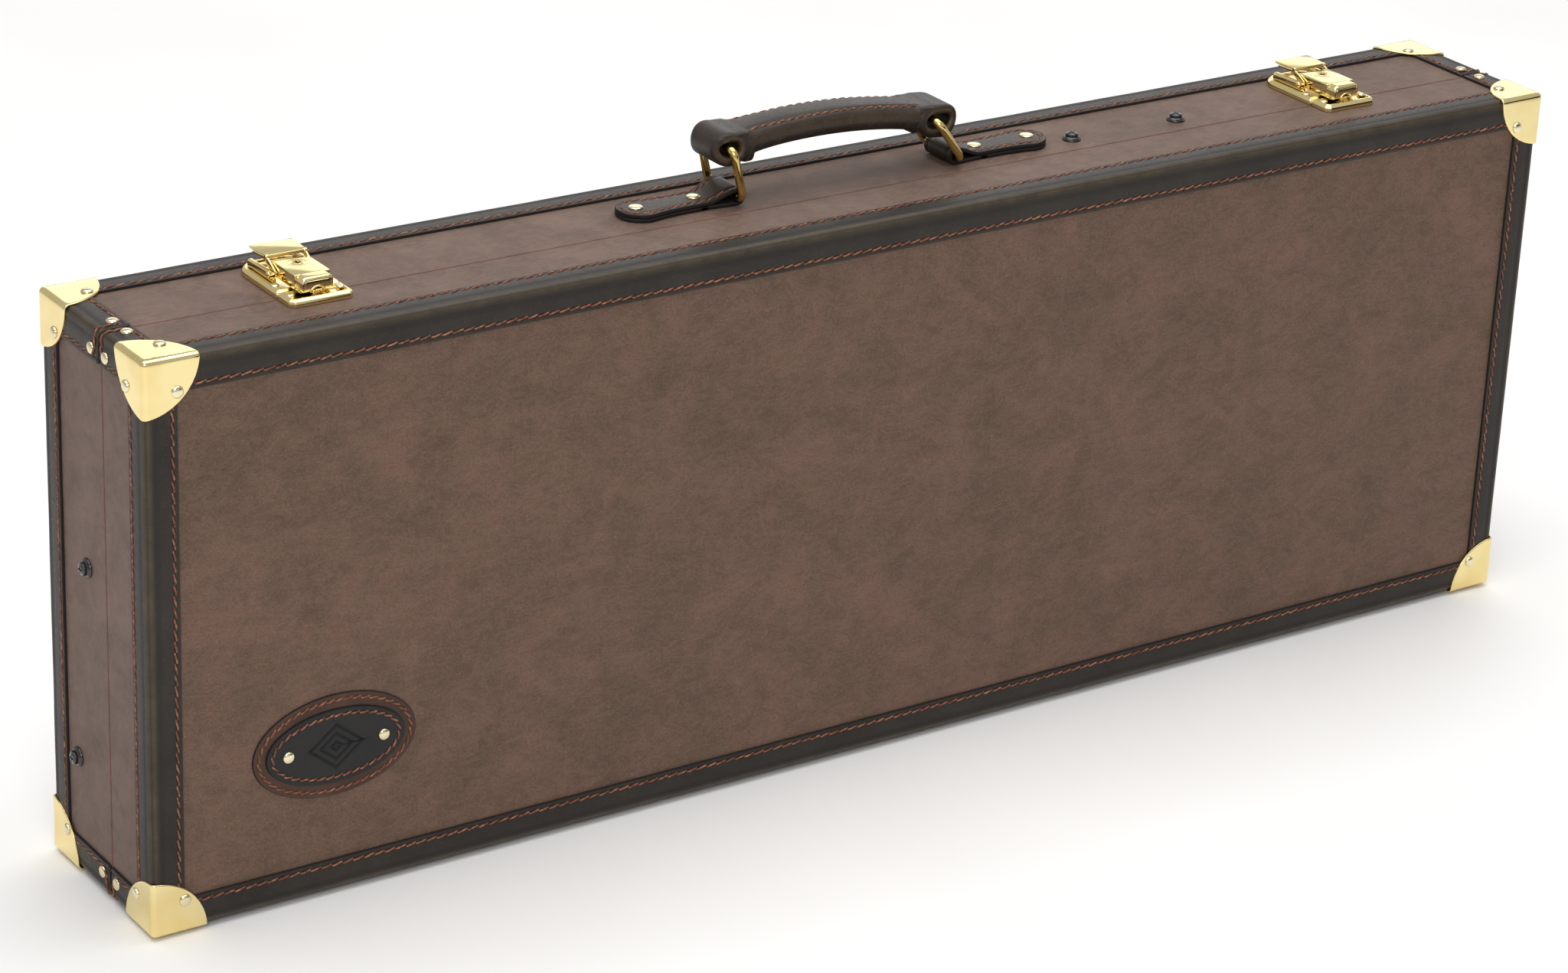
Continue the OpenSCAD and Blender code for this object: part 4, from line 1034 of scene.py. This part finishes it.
def grip():
    """Padded handle: an arched roll that ends in a loop of the same leather round each ring.

    In millimetres, u runs from the left ring's top bar to the right one's, v is up and w across.
    """
    start, end = ring_ends("left")[1], ring_ends("right")[1]
    length = np.linalg.norm(end - start) / MM
    along = unit(end - start)
    up = np.cross(along, (0, 1, 0))
    wall, loop_r, loop_flat, rise, slack = 5.4, 7.4, 6, 6.5, 6.8
    crown, belly, end_belly, hole_top, half_width = 6.4, 8.2, -10.1, 4.4, 12.9
    around = np.linspace(0, 2 * pi, 44, endpoint=False)
    slots = ((0, 2), (length, length + slack))
    notches, holes = (16.8, length - 11.6), (11, length - 10.2)
    seam_at, seam_from, seam_to = 9, 13.5, length - 9
    bend_r = ((length / 2) ** 2 + rise**2) / (2 * rise)

    def to(points):
        points = np.asarray(points, float)
        return start + MM * (points[..., :1] * along + points[..., 1:2] * up
                             + points[..., 2:] * np.array([0, 1, 0]))

    def arch(u):
        return rise - bend_r + np.sqrt(bend_r**2 - (u - (length + slack) / 2) ** 2)

    def signed_power(values, power):
        return np.sign(values) * np.abs(values) ** power

    roll = Shape()
    steps = [k + d for k in (*notches, *holes) for d in (-0.1, 0.1)]
    rings = []
    for u in np.sort(join([np.linspace(0, length + slack, 70), steps])):
        from_end = min(max(u, 0), max(length + slack - u, 0))
        boxy = bell(from_end, 18)
        top = arch(u) + crown + 2.1 * bell(from_end, 11)
        low = np.interp(u, (notches[1] - 3, notches[1] + 4), (arch(u) - belly, end_belly))
        if u < notches[0]:
            low = end_belly
        if u < holes[0] or u > holes[1]:
            low = hole_top
        across = (half_width + 1.2 * boxy) * signed_power(np.cos(around), 0.5 - 0.22 * boxy)
        high = (top - low) / 2 * signed_power(np.sin(around), 0.75 - 0.35 * boxy)
        rings.append(np.column_stack([0 * across + u, (top + low) / 2 + high, across]))
    roll.rings(to(rings))
    for left, far in slots:
        path = np.array([
            (at + loop_r * cos(k), (loop_flat if sin(k) > 0 else loop_r) * sin(k) + lift)
            for at, lift, first, count in ((far, arch(far) * 0.6, -0.5, 14), (left, 0, 0.5, 18))
            for k in np.linspace(first * pi, (first + 1) * pi, count)
        ])
        ahead = unit(np.roll(path, -1, 0) - np.roll(path, 1, 0))
        nose = np.clip(np.where(left > 0, path[:, 0] - far, left - path[:, 0]) / loop_r, 0, 1)
        rings = []
        for p, n, tip in zip(path, ahead, nose):
            width = 14.3 - 2.4 * tip**2
            section = rounded(rectangle(-width, width, -wall / 2, wall / 2), 2.6)
            rings.append([(p[0] + n[1] * h, p[1] - n[0] * h, y) for y, h in section])
        roll.rings(to(rings), looped=True)
    made = roll.build("handle_grip_roll", HANDLE)
    remesh = made.modifiers.new("remesh", "REMESH")
    remesh.mode = "VOXEL"
    remesh.voxel_size = 0.75 * MM
    smooth = made.modifiers.new("smooth", "SMOOTH")
    smooth.factor = 0.5
    smooth.iterations = 9
    mesh = apply_modifiers(made).data
    co, normals = np.empty((2, len(mesh.vertices) * 3))
    mesh.vertices.foreach_get("co", co)
    mesh.vertices.foreach_get("normal", normals)
    co, normals = co.reshape(-1, 3), normals.reshape(-1, 3)
    u, v, w = np.array([(co - start) @ along, (co - start) @ up, co[:, 1] - start[1]]) / MM
    inside = 1 / (1 + np.exp(-(u - seam_from) / 0.8)) / (1 + np.exp((u - seam_to) / 0.8))
    above = v - arch(u)
    on_top = ((normals @ up) > 0.1) & (above > 0)
    pull = 0.6 * bell(np.abs(w) - seam_at, 0.9)
    swell = 0.25 * np.clip(1 - (np.abs(w) / 8.2) ** 2, 0, 1)
    cuts = np.sum([bell(u - notch, 0.6) for notch in notches], 0) * (above < -3)
    shift = (swell - pull) * inside * on_top - 0.7 * cuts
    co = co + normals * (shift * MM)[:, None]
    mesh.vertices.foreach_set("co", co.ravel())
    # The band along each side is a painted highlight; the light rims round the loop holes are rubbed leather.
    side_highlight = bell(np.abs(w) - 12.6, 0.9) * (np.abs(above - 1.5) < 3.5)
    from_hole = np.min([np.hypot(u - np.clip(u, left, far), v) for left, far in slots], 0)
    rim_wear = bell(from_hole - 5.6, 1) * (np.abs(w) > 11)
    wear_and_highlight = np.clip(0.3 * side_highlight + 0.8 * rim_wear, 0, 1)
    for key, values in (("wear_and_highlight", wear_and_highlight), ("edge", np.clip(cuts * 0.9, 0, 1))):
        attribute = mesh.attributes.get(key) or mesh.attributes.new(key, "FLOAT", "POINT")
        attribute.data.foreach_set("value", values)
    mesh.shade_smooth()
    mesh.materials.clear()
    mesh.materials.append(HANDLE)
    piece(made, "handle_grip", "handle_leather", "handle_grip")

    tree = BVHTree.FromObject(made, bpy.context.evaluated_depsgraph_get())
    thread = Shape()
    for side in (-1, 1):
        hits = [tree.ray_cast(Vector(to([k, arch(k) + 25, side * seam_at])), Vector(-up))
                for k in np.linspace(seam_from + 1, seam_to - 1, 90)]
        stitches(thread, np.array([h[0] for h in hits]), np.array([h[1] for h in hits]), 5.6 * MM)
    piece(thread.build("handle_grip_stitches", THREAD), "handle_grip", "thread")


# ---- inside


def divider_boards(node):
    """Padded boards: the cloth is pulled over their rounded edges."""
    shape = Shape()
    for lo, hi in solids(node):
        thin = int(np.argmin(hi - lo))
        a, b = [k for k in range(3) if k != thin]
        (x0, x1), (y0, y1), (low, high) = [(lo[k] / MM, hi[k] / MM) for k in (a, b, thin)]
        slab(shape, rectangle(x0, x1, y0, y1), 3.2, low, high, (a, b), 3)
    made = shape.build(node + "_board", BOARD)
    piece(made, "base", "divider_cloth", node)


def liner(name, sign):
    """Napped lining: walls and floor of one shell in a single tray with soft corners."""
    lo, hi = [v / MM for v in span(name + "_lining")]
    rim_y = (hi if sign < 0 else lo)[1]
    deep, thick, corner_r = hi[1] - lo[1], 1.4, 4
    rows = [(deep - 0.2, 0.1), (0.5, 0.1), (0.15, 0.35), (0, 0.7), (0.15, 1.05), (0.5, 1.3),
            (6, thick), (deep * 0.5, thick), (deep - thick - corner_r, thick)]
    rows += [(deep - thick - corner_r * (1 - sin(k)), thick + corner_r * (1 - cos(k)))
             for k in (0.4, 0.8, 1.2, pi / 2)]
    rows += [(deep - thick, inset) for inset in (12, 25, 45, 70, 100, 130, 148)]
    middle, half = ((hi + lo) / 2)[[0, 2]], ((hi - lo) / 2)[[0, 2]] - corner_r
    rings = []
    for y, inset in rows:
        flat = rounded(rectangle(lo[0], hi[0], lo[2], hi[2]), 5, min(inset, corner_r))
        flat = middle + (flat - middle) * (1 - max(inset - corner_r, 0) / half)
        rings.append(upright(flat, rim_y + sign * y))
    made = Shape().rings(np.array(rings) * MM).build(name + "_liner", LINING)
    piece(made, name, "lining", name + "_lining")


# ---- badge

MOTIF = ((15, 12), (9, 7.2), (3, 2.4))


def oval(name, node, slot, material, seam_in, dark_rim, motif=False):
    """An oval leather patch with a sewn groove near its edge and a dyed cut edge."""
    lo, hi = span(node)
    centre, half = (lo + hi) / 2, (hi - lo) / 2
    turn = np.linspace(0, 2 * pi, 144, endpoint=False)

    def loop(inset, depth):
        return np.column_stack([
            centre[0] + (half[0] - inset) * np.cos(turn), np.full(144, lo[1] + depth),
            centre[2] + (half[2] - inset) * np.sin(turn),
        ])

    inset = mm(0, 0.05, 0.2, 0.5, 0.9, 1.6, 2.4, 2.7, 3, 3.3, 3.6, 4.4, 6)
    inset[6:] += seam_in - 3 * MM
    inset = join([inset, np.linspace(inset[-1] + 0.6 * MM, half[2], 34)[:-1]])
    drop = np.interp(inset, mm(0, 0.2, 0.5, 0.9), mm(0.7, 0.3, 0.1, 0))
    drop += 0.3 * MM * bell(inset - seam_in, 0.5 * MM)
    rings, cuts = [], []
    for a, b in [(0, hi[1] - lo[1]), *zip(inset, drop)]:
        points = loop(a, b)
        pressed = 0
        if motif:
            x, _, z = np.abs(points - centre).T / MM
            away = np.min([np.abs(x / wide + z / high - 1) * high for wide, high in MOTIF], 0)
            pressed = bell(away, 1)
        points[:, 1] += 0.6 * MM * pressed
        rings.append(points)
        cuts.append(np.broadcast_to(np.maximum(0.9 * pressed, a < dark_rim), 144))
    piece(Shape().rings(rings, edge=cuts).build(name, material), "lid", slot, node)
    path = loop(seam_in, 0.28 * MM)
    thread = Shape()
    stitches(thread, [*path, path[0]], np.tile([0, -1, 0], (145, 1)), 5 * MM)
    piece(thread.build(name + "_stitches", THREAD), "lid", "thread")


# ---- build

for shell, facing in SHELLS.items():
    skin_grid(shell, facing)
    bindings(shell, facing)
    fasteners(shell)
    liner(shell, facing)
for corner_name in corner_names:
    corner_plate(corner_name.split("_")[0], corner_name)
divider_fixings()
for board in ("long_divider", "low_divider", "cross_dividers"):
    divider_boards(board)
for which, direction in SIDES.items():
    latch(which)
    ring(which)
    anchor(which, direction)
grip()
oval("badge_oval", "badge_backing", "badge_brown", BADGE_BROWN, 3.2 * MM, 0.4 * MM)
oval("badge_centre", "badge_face", "badge_black", BADGE_BLACK, 3.4 * MM, 0.3 * MM, motif=True)

FINISHES = {
    "plywood": TIMBER, "cover_leather": LONG_COVER, "binding_leather": BINDING,
    "handle_leather": HANDLE, "badge_brown": BADGE_BROWN, "badge_black": BADGE_BLACK,
    "brass": BRASS, "ring_brass": OLD_BRASS, "black_metal": ENAMEL, "lining": LINING,
    "divider_cloth": BOARD, "thread": THREAD,
}
for part in frame["record"]["subparts"]:
    part_mesh = frame["nodes"][part["node"]].data
    part_mesh.materials.clear()
    part_mesh.materials.append(FINISHES[part["material_slot"]])

# ---- camera, floor and lights

VIEW_AZIMUTH, VIEW_ELEVATION, VIEW_ROLL = -34.677, 23.276, 2.468
VIEW_LENS = 102.235
VIEW_FROM = (-1.3154, -1.8510, 1.1119)
MIDDLE = Vector((0, 0, 0.2))


def aim(made, place, axis):
    """Puts an object at a place, with one of its axes towards the middle of the case."""
    made.location = place
    made.rotation_euler = (MIDDLE - Vector(place)).to_track_quat(axis, "Y").to_euler()


def camera():
    made = bpy.data.objects.new("camera", bpy.data.cameras.new("camera"))
    turn = Matrix.Translation(VIEW_FROM)
    for axis, angle in (("Z", VIEW_AZIMUTH), ("X", 90 - VIEW_ELEVATION), ("Z", VIEW_ROLL)):
        turn = turn @ Matrix.Rotation(radians(angle), 4, axis)
    made.matrix_world = turn
    made.data.lens = VIEW_LENS
    made.data.sensor_width = 36
    scene.collection.objects.link(made)
    scene.camera = made


def softbox(name, place, size, power):
    lamp = bpy.data.lights.new(name, "AREA")
    lamp.shape = "RECTANGLE"
    lamp.size, lamp.size_y = size
    lamp.energy = power
    made = bpy.data.objects.new(name, lamp)
    aim(made, place, "-Z")
    scene.collection.objects.link(made)


def sheet(name, width, height, material):
    w, h = width / 2, height / 2
    corners = [[(-w, -h, 0), (w, -h, 0)], [(-w, h, 0), (w, h, 0)]]
    return Shape().rings(corners, closed=False, caps=False).build(name, material)


def floor():
    s = Surface("floor", Specular_IOR_Level=0.2)
    tone = s.tones(s.noise(3, 3, 0.5), (0.3, 0.7), ("f4f3f1", "fbfaf8"))
    sheet("floor", 18, 18, s.done(tone, s.remap(s.noise(40, 3), 0.6, 0.75)))


def card(name, place, size, tone):
    """A matt card out of view that the polished metal reflects."""
    s = Surface(name, Specular_IOR_Level=0.1)
    shade = s.tint(srgb(tone), "3c3c3c", s.noise(2, 2), 0, 0.3)
    made = sheet(name, *size, s.done(shade, s.remap(s.noise(8, 2), 0.8, 0.9)))
    aim(made, place, "Z")
    made.visible_camera = False


def studio():
    world = bpy.data.worlds.new("studio")
    world.use_nodes = True
    sky = world.node_tree.nodes["Background"].inputs
    sky["Color"].default_value = (1, 1, 1, 1)
    sky["Strength"].default_value = 0.53
    scene.world = world
    softbox("overhead", (0, 0, 2.6), (3.4, 2.4), 53)
    softbox("key", (-1.6, -2.4, 2), (1.6, 1.2), 27)
    softbox("back", (1.8, 2.6, 1.35), (3.4, 1.3), 13)
    card("dark_card", (2.1, -2.3, 0.75), (2.4, 0.9), "1c1c1c")
    scene.view_settings.view_transform = "Standard"


camera()
floor()
studio()
